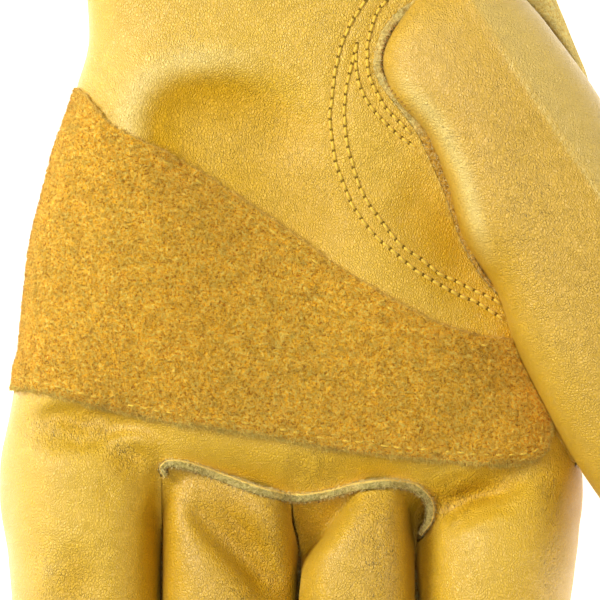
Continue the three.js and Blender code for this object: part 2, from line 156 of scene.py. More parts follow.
# The thumb's rows run along its own axis, which starts at root and is turned by heading.
THUMB = {
    "powers": (2.7, 2.3),
    "tip": 15,
    "root_length": 14,
    "root": (30, 73),
    "heading": 27,
    "rows": [
        (-143, -18, 7.5, 29, 40, 17),
        (-128, -20.8, 11.6, 29, 44, 14),
        (-112, -23, 14.2, 30, 46.5, 12),
        (-98, -23.6, 15.4, 31.5, 48, 11),
        (-82, -23.4, 16.2, 33, 49.5, 11),
        (-68, -21.6, 16.5, 35.5, 50, 11),
        (-56, -22.8, 16.5, 36.5, 49.5, 10),
        (-42, -20.2, 16.2, 37, 48.5, 9),
        (-32, -19.6, 14.8, 36.5, 47.5, 9),
        (-20, -22.6, 12.8, 34.5, 45, 9),
        (-10, -18.6, 9.5, 32, 42, 10),
        (-2, -6, 3, 30, 38.5, 12),
    ],
}

# Dents and swellings of the palm side: x, y, half length, half width, turn, depth, and how
# steep the rim is.
RELIEF = [
    (-3, 22, 20, 16, -40, 7, 1),
    (-15, 35.5, 17, 12, 16, 4.2, 2),
    (-36, 46, 15, 6, 50, -1.2, 1),
    (33, 15, 22, 12, -62, 4.6, 1),
    (-36, 4, 24, 16, 75, -1.8, 1),
    (2, -8, 26, 16, 20, 1.5, 1),
    (-47, -27, 12, 4.6, 0, 6, 1),
    (-13, -39, 15, 6.5, -10, 3.4, 1),
    (15, -39, 12, 6, 5, 2, 1),
    (-45, -48, 14, 10, 90, -1.2, 1),
    (-17, -47, 10, 6, -40, 7, 1),
    (-9, -57, 11, 4.8, -55, 7.2, 1),
    (-30.2, -47, 10, 1.9, 90, 5, 1),
    (25.6, -52, 7, 2.6, 90, 5, 1),
    (36, -42, 13, 3.6, 24, 7, 1),
    (42, -55, 12, 9, 80, -1.4, 1),
    (4, -48.5, 6, 5, 60, -2.2, 1),
]

# Lines on the palm side, seen from above, as corners that a smooth curve joins.
PATCH_TOP = [
    (-66, 54), (-48, 45.5), (-39.8, 37.4), (-25, 30), (-9, 19.6), (6.8, 8.5),
    (20.4, 0), (32.5, -5.7), (44, -8), (54, -8),
]
PATCH_BOTTOM = [
    (54, -26), (52.4, -33), (45, -35.2), (28.5, -34.3), (8, -32), (-11, -28.5),
    (-29, -26), (-43.4, -23), (-54.5, -20), (-68, -18.4),
]
FINGER_SEAM = [
    (-29.4, -38), (-30.2, -35.6), (-28, -33.8), (-23, -34.5), (-16.4, -36.8),
    (-8.5, -39.6), (-1, -41.2), (6, -40.4), (12, -38.8), (19, -38.1),
    (24.9, -39.2), (28.3, -42.6), (28.5, -46.8), (26.4, -50.5),
]
THUMB_SEAM = [
    (34, 67.5), (25.3, 64.2), (21, 61.5), (17.4, 57.2), (15.6, 50.6), (17, 46),
    (21, 40.6), (24.9, 35.3), (28.1, 28.5), (31, 21.9), (33.8, 13.8), (37.6, 6.6),
    (41.6, 1.6),
]
SIDE_SEAM = [
    (66, 38), (60.4, 47), (54, 57), (47.4, 64), (42.5, 72), (43, 84), (46, 100),
    (50, 129),
]
RING_SPLIT = [
    (-2.4, -30), (-2.4, -40), (-1.7, -44), (-1.4, -47.5), (-0.5, -51), (0, -55),
    (0, -58.5), (-0.5, -63), (-0.5, -150),
]
THUMB_RIDGE = [(40.8, 55.5), (61.2, 25)]

# Shares of the thumb's seam between which it leaves the root
ROOT_END = [0.42, 0.54]

# Where the finger fronts meet the outer fingers
LITTLE_RING_X = -29.55
LITTLE_RING_TOP = -38.4
MIDDLE_INDEX_X = 24.8
MIDDLE_INDEX_TOP = -52.5
MIDDLE_INDEX_END = -82
MIDDLE_TIP_SIDE = 27.5
BEYOND_FINGERTIPS = -150
SIDE_LINE = [(-150, 26), (-120, 22.5), (-90, 19), (-60, 17), (140, 17)]


# Curves and distances

def smooth_track(stations, values, at):
    """Values given at rising stations, joined by smooth cubics."""
    stations = np.asarray(stations, float)
    values = np.asarray(values, float)
    slopes = np.gradient(values, stations, axis=0)
    index = np.clip(np.searchsorted(stations, at) - 1, 0, len(stations) - 2)
    span = stations[index + 1] - stations[index]
    t = np.clip((at - stations[index]) / span, 0, 1)
    if values.ndim > 1:
        t = t[..., None]
        span = span[..., None]
    a = values[index]
    b = values[index + 1]
    slope_a = slopes[index] * span
    slope_b = slopes[index + 1] * span
    rise = b - a
    return a + t * (slope_a + t * (3 * rise - 2 * slope_a - slope_b
                                   + t * (slope_a + slope_b - 2 * rise)))


def unit(vectors):
    """Each vector with a length of 1."""
    return vectors / np.maximum(np.linalg.norm(vectors, axis=-1, keepdims=True), 1e-12)


def length_along(line):
    """How far along a line each of its points is."""
    return np.concatenate([[0], np.cumsum(np.linalg.norm(np.diff(line, axis=0), axis=1))])


def smooth_line(corners, spacing):
    """A smooth curve through corners, as points at even spacing."""
    corners = np.asarray(corners, float)
    count = len(corners)
    fine = np.linspace(0, count - 1, 24 * (count - 1) + 1)
    curve = smooth_track(np.arange(count), corners, fine)
    lengths = length_along(curve)
    wanted = np.linspace(0, lengths[-1], max(2, int(lengths[-1] / spacing) + 1))
    return np.column_stack([np.interp(wanted, lengths, curve[:, k]) for k in range(curve.shape[1])])


def beside(line, distance):
    """A line's points moved to its left."""
    direction = unit(np.gradient(line[:, :2], axis=0))
    moved = np.array(line, float)
    moved[:, 0] -= direction[:, 1] * distance
    moved[:, 1] += direction[:, 0] * distance
    return moved


def share_along(line):
    along = length_along(line[:, :2])
    return along / along[-1]


def thumb_welt_width(share):
    """The welt narrows where the thumb closes over it."""
    shares = [0, 0.44, 0.51, 0.58, 0.68, 0.73, 0.82, 0.9, 1]
    return np.interp(share, shares, [2.2, 1.5, 1.8, 2.4, 2.4, 1.9, 1.5, 0.8, 0.6])


def line_distance(points, line, closed=False):
    """Each point's distance to a line, and how far along the line its nearest place is."""
    starts = line if closed else line[:-1]
    ends = np.roll(line, -1, axis=0) if closed else line[1:]
    along_at = length_along(np.concatenate([starts, ends[-1:]]))
    best = np.full(len(points), 1e9)
    place = np.zeros(len(points))
    for start, end, at in zip(starts, ends, along_at):
        step = end - start
        length = np.linalg.norm(step)
        t = np.clip((points - start) @ step / length ** 2, 0, 1)
        gap = np.linalg.norm(points - start - t[:, None] * step, axis=1)
        nearer = gap < best
        best[nearer] = gap[nearer]
        place[nearer] = at + t[nearer] * length
    return best, place


def outline_distance(points, outline):
    """Distance to a closed outline, above zero inside it."""
    gap, _ = line_distance(points, outline, closed=True)
    inside = np.zeros(len(points), bool)
    for (ax, ay), (bx, by) in zip(outline, np.roll(outline, -1, axis=0)):
        crosses = (ay > points[:, 1]) != (by > points[:, 1])
        with np.errstate(divide="ignore", invalid="ignore"):
            crossing = ax + (points[:, 1] - ay) * (bx - ax) / (by - ay)
        inside ^= crosses & (points[:, 0] < crossing)
    return np.where(inside, gap, -gap)


def noise(x, y, size, seed):
    """Smooth seeded noise between about -1 and 1, with lumps of the given size."""
    random = np.random.default_rng(seed)
    table = random.uniform(0, 2 * np.pi, (64, 64))
    u = x / size
    v = y / size
    i = np.floor(u).astype(int)
    j = np.floor(v).astype(int)
    u = u - i
    v = v - j
    fade_u = u * u * u * (u * (6 * u - 15) + 10)
    fade_v = v * v * v * (v * (6 * v - 15) + 10)

    def corner(di, dj):
        angle = table[(i + di) % 64, (j + dj) % 64]
        return np.cos(angle) * (u - di) + np.sin(angle) * (v - dj)

    low = corner(0, 0) * (1 - fade_u) + corner(1, 0) * fade_u
    high = corner(0, 1) * (1 - fade_u) + corner(1, 1) * fade_u
    return 1.5 * (low * (1 - fade_v) + high * fade_v)


def from_spot(x, y, cx, cy, length, width, turn):
    """How far out of a turned oval spot a place is, squared: 1 at its rim."""
    angle = math.radians(turn)
    along = ((x - cx) * math.cos(angle) + (y - cy) * math.sin(angle)) / length
    across = ((y - cy) * math.cos(angle) - (x - cx) * math.sin(angle)) / width
    return along ** 2 + across ** 2


def relief(x, y):
    """How far the palm side is pressed in."""
    total = 0
    for *spot, depth, edge in RELIEF:
        total = total + depth * np.exp(-from_spot(x, y, *spot) ** edge)
    return total


def soft_spots(points, rows):
    """The largest share, from 0 to 1, that the rows of a table give each point."""
    total = np.zeros(len(points))
    for *spot, amount in rows:
        total = np.maximum(total, amount * np.exp(-from_spot(points[:, 0], points[:, 1], *spot)))
    return total


def side_height(y):
    """Height of the seam between the palm panels and the back."""
    rows = np.array(SIDE_LINE, float)
    return smooth_track(rows[:, 0], rows[:, 1], np.asarray(y, float))


# Rounded forms as fields, which give about the distance to the surface, below zero inside

def rounded_end(distance, length):
    """How wide a limb is, as a share of its section, at a distance from its round end."""
    rise = np.clip(distance / length, 0, 1)
    return np.sqrt(np.clip(1 - (1 - rise) ** 2, 1e-3, 1))


def limb_field(limb, x, y, z, inset=0.0):
    rows = np.array(limb["rows"], float)
    local_x = x
    local_y = y
    if "root" in limb:
        angle = math.radians(limb["heading"])
        dx = x - limb["root"][0]
        dy = y - limb["root"][1]
        local_x = dx * math.cos(angle) + dy * math.sin(angle)
        local_y = dy * math.cos(angle) - dx * math.sin(angle)
    tip = rows[0, 0]
    start = rows[-1, 0]
    section = smooth_track(rows[:, 0], rows[:, 1:], np.clip(local_y, tip, start))
    left, right, seam, top, bottom = (section[..., k] for k in range(5))
    scale = rounded_end(local_y - tip, limb["tip"])
    if "root_length" in limb:
        scale = scale * rounded_end(start - local_y, limb["root_length"])
    if "root" not in limb:
        z = z + relief(x, y) * np.clip((z - seam) / (top - seam), 0, 1)
    half = np.maximum((right - left) / 2 * scale - inset, SLIMMEST)
    upper = z > seam
    reach = np.maximum(np.where(upper, top - seam, seam - bottom) * scale - inset, SLIMMEST)
    power = np.where(upper, limb["powers"][0], limb["powers"][1])
    across = np.maximum(np.abs(local_x - (left + right) / 2) / half, 1e-4)
    up = np.maximum(np.abs(z - seam) / reach, 1e-4)
    across_power = across ** (power - 1)
    up_power = up ** (power - 1)
    size = (across_power * across + up_power * up) ** (1 / power)
    slope = np.sqrt((across_power / half) ** 2 + (up_power / reach) ** 2) * size ** (1 - power)
    distance = np.clip((size - 1) / np.maximum(slope, 1e-3), -FAR, FAR)
    distance = np.maximum(distance, tip - local_y)
    # The hand runs on past the mouth, where its leather is cut.
    if limb is HAND:
        return distance
    return np.maximum(distance, local_y - start)


def blend_fields(a, b, radius):
    """The union of two forms with a fillet."""
    mix = np.clip(0.5 + 0.5 * (b - a) / radius, 0, 1)
    return b + (a - b) * mix - radius * mix * (1 - mix)


def grid_field(limbs, low, high, step, fillet, inset=0.0, flat_floor=True):
    """The field of joined limbs on a grid of points."""
    axes = [np.arange(a, b + step, step) for a, b in zip(low, high)]
    x = axes[0][:, None, None]
    y = axes[1][None, :, None]
    z = axes[2][None, None, :]
    total = None
    for limb in limbs:
        field = limb_field(limb, x, y, z, 0.0 if limb is HAND else inset)
        total = field if total is None else blend_fields(total, field, fillet)
    if flat_floor:
        total = -blend_fields(-total, z + 0 * total, 2.5)
    return total.astype(np.float32), np.array([axis[0] for axis in axes]), step


def surface_net(field, origin, step):
    """A mesh where the field is zero, one corner for each cell that it crosses."""
    inside = field < 0
    nx, ny, nz = (size - 1 for size in inside.shape)
    cells = sum(inside[i:nx + i, j:ny + j, k:nz + k].astype(np.int8)
                for i in (0, 1) for j in (0, 1) for k in (0, 1))
    active = np.argwhere((cells > 0) & (cells < 8))
    number = np.full(cells.shape, -1, np.int64)
    number[tuple(active.T)] = np.arange(len(active))
    total = np.zeros((len(active), 3))
    count = np.zeros(len(active))
    for axis in range(3):
        for p, q in ((0, 0), (0, 1), (1, 0), (1, 1)):
            near = active + np.insert([p, q], axis, 0)
            far = near + np.eye(3, dtype=int)[axis]
            a = field[tuple(near.T)]
            b = field[tuple(far.T)]
            crossed = (a < 0) != (b < 0)
            place = near[crossed].astype(float)
            place[:, axis] += a[crossed] / (a[crossed] - b[crossed])
            total[crossed] += place
            count[crossed] += 1
    points = origin + step * total / count[:, None]
    quads = []
    for axis in range(3):
        u = (axis + 1) % 3
        v = (axis + 2) % 3
        here = [slice(1, -1)] * 3
        here[axis] = slice(0, -1)
        there = list(here)
        there[axis] = slice(1, None)
        at = np.argwhere(inside[tuple(here)] != inside[tuple(there)])
        at[:, [u, v]] += 1
        leaving = inside[tuple(at.T)]
        ring = []
        for du, dv in ((-1, -1), (0, -1), (0, 0), (-1, 0)):
            cell = at.copy()
            cell[:, u] += du
            cell[:, v] += dv
            ring.append(number[tuple(cell.T)])
        ring = np.column_stack(ring)
        ring[~leaving] = ring[~leaving][:, ::-1]
        quads.append(ring)
    quads = np.concatenate(quads)
    return points, np.concatenate([quads[:, [0, 1, 2]], quads[:, [0, 2, 3]]])


def keep_used(tris, *arrays):
    """The triangles renumbered, after the rows of each array that they use."""
    used = np.unique(tris)
    renumber = np.full(len(arrays[0]), -1)
    renumber[used] = np.arange(len(used))
    return *(array[used] for array in arrays), renumber[tris]


def clip_mesh(points, tris, value):
    """The part of a mesh where value is above zero, cut where it is zero."""
    above = value > 0
    score = above[tris].sum(axis=1)
    mixed = tris[(score == 1) | (score == 2)]
    odd_above = above[mixed].sum(axis=1) == 1
    odd = np.argmax(above[mixed] == odd_above[:, None], axis=1)
    rows = np.arange(len(mixed))
    a, b, c = (mixed[rows, (odd + k) % 3] for k in range(3))
    pairs = np.sort(np.concatenate([np.column_stack([a, b]), np.column_stack([a, c])]), axis=1)
    unique, back = np.unique(pairs, axis=0, return_inverse=True)
    back = back.reshape(-1) + len(points)
    first = value[unique[:, 0]]
    second = value[unique[:, 1]]
    share = (first / (first - second))[:, None]
    new_points = points[unique[:, 0]] * (1 - share) + points[unique[:, 1]] * share
    ab = back[:len(mixed)]
    ac = back[len(mixed):]
    tris = np.concatenate([
        tris[score == 3],
        np.column_stack([a, ab, ac])[odd_above],
        np.column_stack([ab, b, c])[~odd_above],
        np.column_stack([ab, c, ac])[~odd_above],
    ])
    value = np.concatenate([value, np.zeros(len(new_points))])
    points, value, tris = keep_used(tris, np.concatenate([points, new_points]), value)
    return points, tris, value


def largest_patch(points, tris, value):
    """The biggest joined-up part of a mesh."""
    label = np.arange(len(points))
    while True:
        low = label[tris].min(axis=1)
        before = label.copy()
        for k in range(3):
            np.minimum.at(label, tris[:, k], low)
        label = label[label]
        if np.array_equal(label, before):
            break
    names, counts = np.unique(label[tris[:, 0]], return_counts=True)
    main = names[np.argmax(counts)]
    points, value, tris = keep_used(tris[label[tris[:, 0]] == main], points, value)
    return points, tris, value


def edges_of(tris):
    return np.concatenate([tris[:, [0, 1]], tris[:, [1, 2]], tris[:, [2, 0]]])


def face_normals(points, tris):
    """Each triangle's normal, as long as twice its area."""
    corners = points[tris]
    return np.cross(corners[:, 1] - corners[:, 0], corners[:, 2] - corners[:, 0])


def even_normals(points, tris, rounds=4):
    """Normals at the points that don't follow the small slivers beside a cut."""
    face = face_normals(points, tris)
    normals = np.zeros_like(points)
    for k in range(3):
        np.add.at(normals, tris[:, k], face)
    normals = unit(normals)
    edges = edges_of(tris)
    both = np.concatenate([edges, edges[:, ::-1]])
    for _ in range(rounds):
        total = normals.copy()
        for k in range(3):
            total[:, k] += np.bincount(both[:, 0], normals[both[:, 1], k], len(points))
        normals = unit(total)
    return normals


def moved_along_normals(points, tris, distance):
    return points[:, :3] + even_normals(points[:, :3], tris) * np.asarray(distance)[:, None]


def relax(points, tris, value, rounds):
    """Evens out a surface, leaving its cut edges where they are."""
    edges = edges_of(tris)
    held = value <= 1e-9
    for _ in range(rounds):
        total = np.zeros_like(points)
        count = np.zeros(len(points))
        np.add.at(total, edges[:, 0], points[edges[:, 1]])
        np.add.at(count, edges[:, 0], 1)
        mean = total / np.maximum(count, 1)[:, None]
        points = np.where(held[:, None], points, 0.5 * points + 0.5 * mean)
    return points


def thicken(points, tris, wall):
    """A closed wall under a surface."""
    edges = edges_of(tris)
    ordered = np.sort(edges, axis=1)
    keys = ordered[:, 0] * len(points) + ordered[:, 1]
    _, first, counts = np.unique(keys, return_index=True, return_counts=True)
    a, b = edges[first[counts == 1]].T
    inner = points - even_normals(points, tris) * wall
    n = len(points)
    faces = [tris, tris[:, ::-1] + n, np.column_stack([b, a, a + n]), np.column_stack([b, a + n, b + n])]
    return np.concatenate([points, inner]), np.concatenate(faces)


def make_object(name, points, faces, material, body="root", sharp=40):
    """A Blender object from points in millimetres and triangles or quads."""
    mesh = bpy.data.meshes.new(name)
    faces = np.asarray(faces, np.int32)
    sides = faces.shape[1]
    mesh.vertices.add(len(points))
    mesh.vertices.foreach_set("co", (np.asarray(points) * MM).astype(np.float32).ravel())
    mesh.loops.add(faces.size)
    mesh.loops.foreach_set("vertex_index", faces.ravel())
    mesh.polygons.add(len(faces))
    mesh.polygons.foreach_set("loop_start", np.arange(0, faces.size, sides, dtype=np.int32))
    mesh.update(calc_edges=True)
    mesh.validate()
    mesh.polygons.foreach_set("use_smooth", np.ones(len(mesh.polygons), bool))
    if sharp:
        mesh.set_sharp_from_angle(angle=math.radians(sharp))
    mesh.materials.append(material)
    piece = bpy.data.objects.new(name, mesh)
    bpy.context.scene.collection.objects.link(piece)
    if body:
        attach(piece, body)
    return piece


def set_attribute(piece, name, values):
    """Keeps a number for each mesh point, such as its distance from a cut edge."""
    attribute = piece.data.attributes.new(name=name, type="FLOAT", domain="POINT")
    attribute.data.foreach_set("value", np.asarray(values, np.float32))


def rolled_in(distance, radius):
    """How deep a sewn edge turns in, at a distance from its seam."""
    short = np.clip(radius - distance, 0, radius)
    return radius - np.sqrt(radius ** 2 - short ** 2)


# Where the panels end, as distances at the mesh points

finger_line = smooth_line(FINGER_SEAM, 0.8)
thumb_line = smooth_line(THUMB_SEAM, 1.0)
side_turn_line = smooth_line(SIDE_SEAM, 2.0)


def finger_zone(points, offset, index_side=MIDDLE_INDEX_X):
    """Distance inside the two finger fronts. Near its tip the middle one reaches index_side."""
    line = beside(finger_line, offset)
    corners = [
        (MIDDLE_INDEX_X, MIDDLE_INDEX_TOP),
        (MIDDLE_INDEX_X, -80),
        (index_side, -92),
        (index_side, BEYOND_FINGERTIPS),
        (LITTLE_RING_X, BEYOND_FINGERTIPS),
        (LITTLE_RING_X, line[0, 1] - 0.4),
    ]
    return outline_distance(points[:, :2], np.concatenate([line, corners]))


def thumb_zone(points, offset):
    line = beside(thumb_line, offset)
    corners = [(47, -1), (54, 0), (80, 10), (80, 30), (60, 42), (50, 55), (40, 64)]
    return outline_distance(points[:, :2], np.concatenate([line, corners]))


def side_turn(points):
    """Distance past the line where the back turns round to the front, beside the wrist."""
    corners = [(130, 129), (130, 38)]
    return outline_distance(points[:, :2], np.concatenate([side_turn_line, corners]))


def split_x(y):
    corners = np.array(RING_SPLIT[::-1], float)
    return np.interp(y, corners[:, 1], corners[:, 0])


def above_side(points):
    return points[:, 2] - side_height(points[:, 1])


def field_at(limb, points):
    return limb_field(limb, points[:, 0], points[:, 1], points[:, 2])


def panel(points, tris, value, edges):
    """Cuts a panel out of a surface and turns its sewn edges in.

    edges holds pairs of a distance from an edge and the radius that the edge turns in with.
    """
    roll = np.minimum.reduce([distance for distance, _ in edges])
    drop = np.maximum.reduce([rolled_in(np.maximum(distance, 0), radius) for distance, radius in edges])
    carried = np.column_stack([points, roll, drop])
    carried, tris, value = largest_patch(*clip_mesh(carried, tris, value))
    carried[:, :3] = relax(carried[:, :3], tris, value, rounds=2)
    return moved_along_normals(carried, tris, -carried[:, 4]), tris, carried[:, 3]


def panel_piece(name, points, tris, wall, material, numbers, inner=0.0):
    """A panel with its wall. numbers holds what the finish needs to know at each outer point."""
    solid, faces = thicken(points, tris, wall)
    piece = make_object(name, solid, faces, material)
    for key, values in numbers.items():
        set_attribute(piece, key, np.concatenate([values, np.full(len(points), inner)]))
    return piece


# Rows of stitches, as corners in x and y that a smooth curve joins
STITCH_ROWS = {
    "outer": {
        "pitch": 2.2,
        "corners": [
            (14, 63.6), (11.3, 59.6), (9.1, 54.9), (7.7, 49.6), (6.6, 41.1), (6.4, 38.5),
            (6.8, 34.5), (7.7, 28.9), (9.4, 24.3), (11.1, 20.2), (13.8, 16.2), (16.6, 13),
            (20.4, 9.8), (24.5, 6.4), (29.8, 3.2), (33.6, 1.1), (37.7, -0.6), (41.3, -2.8),
            (43.4, -4.4),
        ],
    },
    "second": {
        "pitch": 2.2,
        "corners": [
            (12.1, 54.5), (10.9, 49.6), (9.8, 44.5), (9.4, 39.4), (10, 33.6), (10.9, 29.6),
            (12.6, 24.3), (14.7, 20.2), (16.2, 18.3), (19.1, 14.3), (21.9, 11.3), (26, 8.5),
            (29.4, 5.7), (33.2, 4), (36.8, 2.1), (40.4, 0.6), (42.8, -1),
        ],
    },
    "third": {
        "pitch": 1.9,
        "corners": [
            (12.1, 54.5), (11.9, 51.1), (12.3, 47), (13.6, 43.4), (15.5, 40.4), (18.3, 37.4),
            (21.5, 34.5), (24.9, 32.3),
        ],
    },
    "inner": {
        "pitch": 1.9,
        "corners": [
            (18.5, 63.6), (16.4, 61.1), (15.3, 57.9), (14.5, 54.5), (14.3, 51.9), (14.7, 47.7),
            (16.4, 44), (18.5, 40.4), (20.2, 38.7), (21.9, 37), (23.6, 35.3),
        ],
    },
}


# Creases and wrinkles: a soft valley along a line, x and y corners, half width, depth
CREASES = [
    ([(-23.4, -42.5), (-19, -48.5), (-12.5, -55), (-6.5, -61)], 2.0, 0.7),
    ([(-12, -50), (-7, -55.5), (-3.4, -61)], 0.9, 0.25),
    ([(-17, -44), (-11, -49.5), (-5.5, -55.5)], 0.9, 0.2),
    ([(27.5, -38), (30, -35.6), (31.8, -33.6)], 0.7, 0.22),
    ([(29.4, -39.8), (33, -37.8), (36, -36.6)], 0.7, 0.22),
    ([(30, -42.6), (33.4, -41.6), (37, -41.4)], 0.7, 0.2),
    ([(-55.7, -25.3), (-51, -24), (-44.7, -23.8), (-40, -25.3)], 1.6, 0.7),
    ([(-42.6, -31), (-37.2, -29.4), (-33, -30), (-30.6, -32)], 1.5, -0.7),
    ([(-39, -34.4), (-35, -33.6), (-31.6, -36)], 2.1, 0.7),
    ([(-36.4, -32), (-34.4, -36)], 0.5, 0.2),
    ([(-34, -31.4), (-33, -35.4)], 0.5, 0.2),
    ([(-39.4, -34), (-36.6, -38)], 0.6, 0.2),
    ([(-44, -38.5), (-41, -40.5), (-39, -44)], 1.8, 0.5),
    ([(-50, -52), (-47, -58), (-49, -66)], 4.0, 0.6),
    ([(29, -47), (36.5, -42.2), (45, -41)], 1.6, 0.7),
    ([(31, -50), (38, -45.5), (47, -43.6)], 1.1, 0.35),
    ([(-52, -24.5), (-47, -26.5), (-42, -25.5)], 1.4, 0.5),
    ([(-51, -29.5), (-46, -30.6), (-40, -29)], 1.1, 0.3),
    ([(0.4, -31.5), (0, -36), (-0.8, -40.5)], 1.6, 0.4),
    ([(-1.6, -31), (-2, -36), (-3.2, -40)], 0.8, 0.15),
    ([(2.6, -31.5), (2.4, -36), (2.4, -39.5)], 0.8, 0.12),
    ([(17.5, -43), (16.2, -50), (17.6, -58)], 1.0, 0.12),
    ([(31, 28), (25, 22), (21, 14)], 3.0, 0.3),
]


def crease_depth(points):
    total = np.zeros(len(points))
    for corners, width, depth in CREASES:
        gap, place = line_distance(points[:, :2], smooth_line(corners, 1.0))
        ends = np.clip(np.minimum(place, place.max() - place) / 3.0, 0, 1)
        valley = np.exp(-(gap / width) ** 2) - 0.45 * np.exp(-((gap - 1.9 * width) / width) ** 2)
        total += depth * ends * valley
    for row in STITCH_ROWS.values():
        gap, _ = line_distance(points[:, :2], smooth_line(row["corners"], 1.0))
        total += 0.24 * np.exp(-(gap / 0.8) ** 2)
    return total


HEEL_CREST = [
    (-34.5, 35.1), (-33.8, 40.4), (-31.5, 44.7), (-27.2, 48.1), (-21.3, 49.1), (-12.8, 48.9),
    (-5.3, 46.4), (1.1, 41.5),
]


def heel_dent(points):
    """The floor of the dent at the heel of the hand and the lip round it, each from 0 to 1."""
    corners = [(60, 36), (60, -60), (-34.5, -60)]
    inward = outline_distance(points[:, :2], np.concatenate([smooth_line(HEEL_CREST, 1.0), corners]))
    step = np.clip((inward + 0.6) / 5.0, 0, 1)
    inside = step * step * (3 - 2 * step) * np.exp(-(np.maximum(inward - 3, 0) / 12) ** 2)
    fading = np.clip((12 - points[:, 0]) / 26, 0, 1) * np.clip((points[:, 1] - 8) / 14, 0, 1)
    near = np.clip((points[:, 1] - 29) / 7, 0, 1) * np.clip((-6 - points[:, 0]) / 14, 0, 1)
    lip = near * np.exp(-((inward + 2.2) / 3.0) ** 2)
    return inside * fading, lip


def undulation(points, seed=3):
    x = points[:, 0]
    y = points[:, 1]
    broad = noise(x + 0.4 * points[:, 2], y, 17, seed)
    fine = noise(x, y + 0.5 * points[:, 2], 6, seed + 1)
    return 0.35 * broad + 0.1 * fine


def cleft_gap(points):
    """Distance to the two lines where the finger fronts meet the outer fingers."""
    little = np.hypot(points[:, 0] - LITTLE_RING_X, np.maximum(points[:, 1] - LITTLE_RING_TOP, 0))
    past_ends = np.maximum(points[:, 1] - MIDDLE_INDEX_TOP, MIDDLE_INDEX_END - points[:, 1])
    index = np.hypot(points[:, 0] - MIDDLE_INDEX_X, np.maximum(past_ends, 0))
    return np.minimum(little, index)


# Where the leather is wrinkled: x, y, half length, half width, turn, amount
WRINKLED = [
    (-12, -50, 15, 10, -45, 0.55),
    (18, -54, 16, 7, 90, 0.7),
    (2, -36, 7, 5, 0, 0.55),
    (-46, -28, 12, 5, 0, 0.55),
    (33, -42, 9, 4, 20, 0.8),
    (-12, 30, 20, 16, -40, 0.3),
    (46, 30, 50, 15, -60, 0.3),
    (-49, -60, 9, 6, 80, 0.35),
    (-37, -33, 5, 4, 0, 0.7),
    (54, -52, 22, 4, 90, 0.7),
    (-8, -64, 16, 9, -60, 0.5),
]


# Painted shade: spots where the leather's colour is darkened as shade, with the same columns
SHADED = [
    (31, 13, 15, 8, -62, 1.0),
    (37, -40.5, 14, 5, 14, 1.0),
    (-12, -50, 12, 6, -45, 0.7),
    (-8, -60, 12, 5, -55, 0.9),
    (-32, -54, 22, 4.2, 90, 0.9),
    (-48, -25.5, 10, 2.4, 2, 0.5),
    (-34.4, -34, 4, 3, 0, 0.7),
    (-48, -59, 7, 4, 70, 0.6),
    (14, -35, 10, 3, 0, 0.6),
    (-37, -36, 6, 3, -40, 0.7),
]


def leather_numbers(points, roll, lip=None):
    """What the leather's finish needs to know at each point."""
    sunken = np.clip(relief(points[:, 0], points[:, 1]) / 8, 0, 1) * np.clip(points[:, 2] / 30, 0, 1)
    dent, dent_lip_highlight = heel_dent(points)
    shaded = soft_spots(points, SHADED)
    return {
        "edge": roll,
        "wrinkle": soft_spots(points, WRINKLED),
        # Painted shade: darker colour in the dents, on the heel dent's floor and in the shaded spots
        "painted_shade": np.maximum.reduce([0.35 * sunken, 0.9 * dent, 0.75 * shaded]),
        # Painted highlight: cream on the heel dent's lip, unless another mask is given
        "lip": 0.75 * dent_lip_highlight if lip is None else lip,
    }


def hem_wall(points):
    """Thickness of the leather, which is folded over along the mouth of the glove."""
    folded = np.clip((points[:, 1] - (CUFF_END - HEM)) / 0.8, 0, 1)
    return (WALL + HEM_WALL * folded)[:, None]


def surface_tree(points, tris):
    return BVHTree.FromPolygons(points[:, :3].tolist(), tris.tolist())


def on_top(trees, x, y):
    """The highest surface under a point, and its normal."""
    best = None
    for tree in trees:
        place, normal, _, _ = tree.ray_cast(Vector((x, y, 120)), Vector((0, 0, -1)))
        if place is not None and (best is None or place.z > best[0].z):
            best = (place, normal)
    return best


def build_palm(material):
    points, tris = surface_net(*grid_field(
        [HAND, LITTLE, INDEX], low=(-66, -124, 12), high=(66, 124, 43), step=0.85, fillet=5))
    side = above_side(points) - SEAM_GAP / 2
    seam = -finger_zone(points, WELT_GAP)
    thumb = -thumb_zone(points, -WELT_GAP)
    turn = -side_turn(points) - SEAM_GAP / 2
    mouth = CUFF_END - points[:, 1]
    value = np.minimum.reduce([side, seam, thumb, turn, mouth])
    line_gap, _ = line_distance(points[:, :2], beside(finger_line, WELT_GAP))
    points, tris, roll = panel(points, tris, value, [
        (side, SIDE_ROLL), (line_gap, WELT_ROLL), (thumb, WELT_ROLL), (turn, SIDE_ROLL),
        (mouth, SIDE_ROLL), (cleft_gap(points), CLEFT_ROLL),
    ])
    dent, lip = heel_dent(points)
    detail = undulation(points) - crease_depth(points) - DENT_DEPTH * dent + DENT_LIP * lip
    points = moved_along_normals(points, tris, detail * np.clip(roll / 3, 0, 1))
    numbers = leather_numbers(points, roll)
    piece = panel_piece("palm_leather", points, tris, hem_wall(points), material, numbers)
    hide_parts("palm")
    return surface_tree(points, tris)


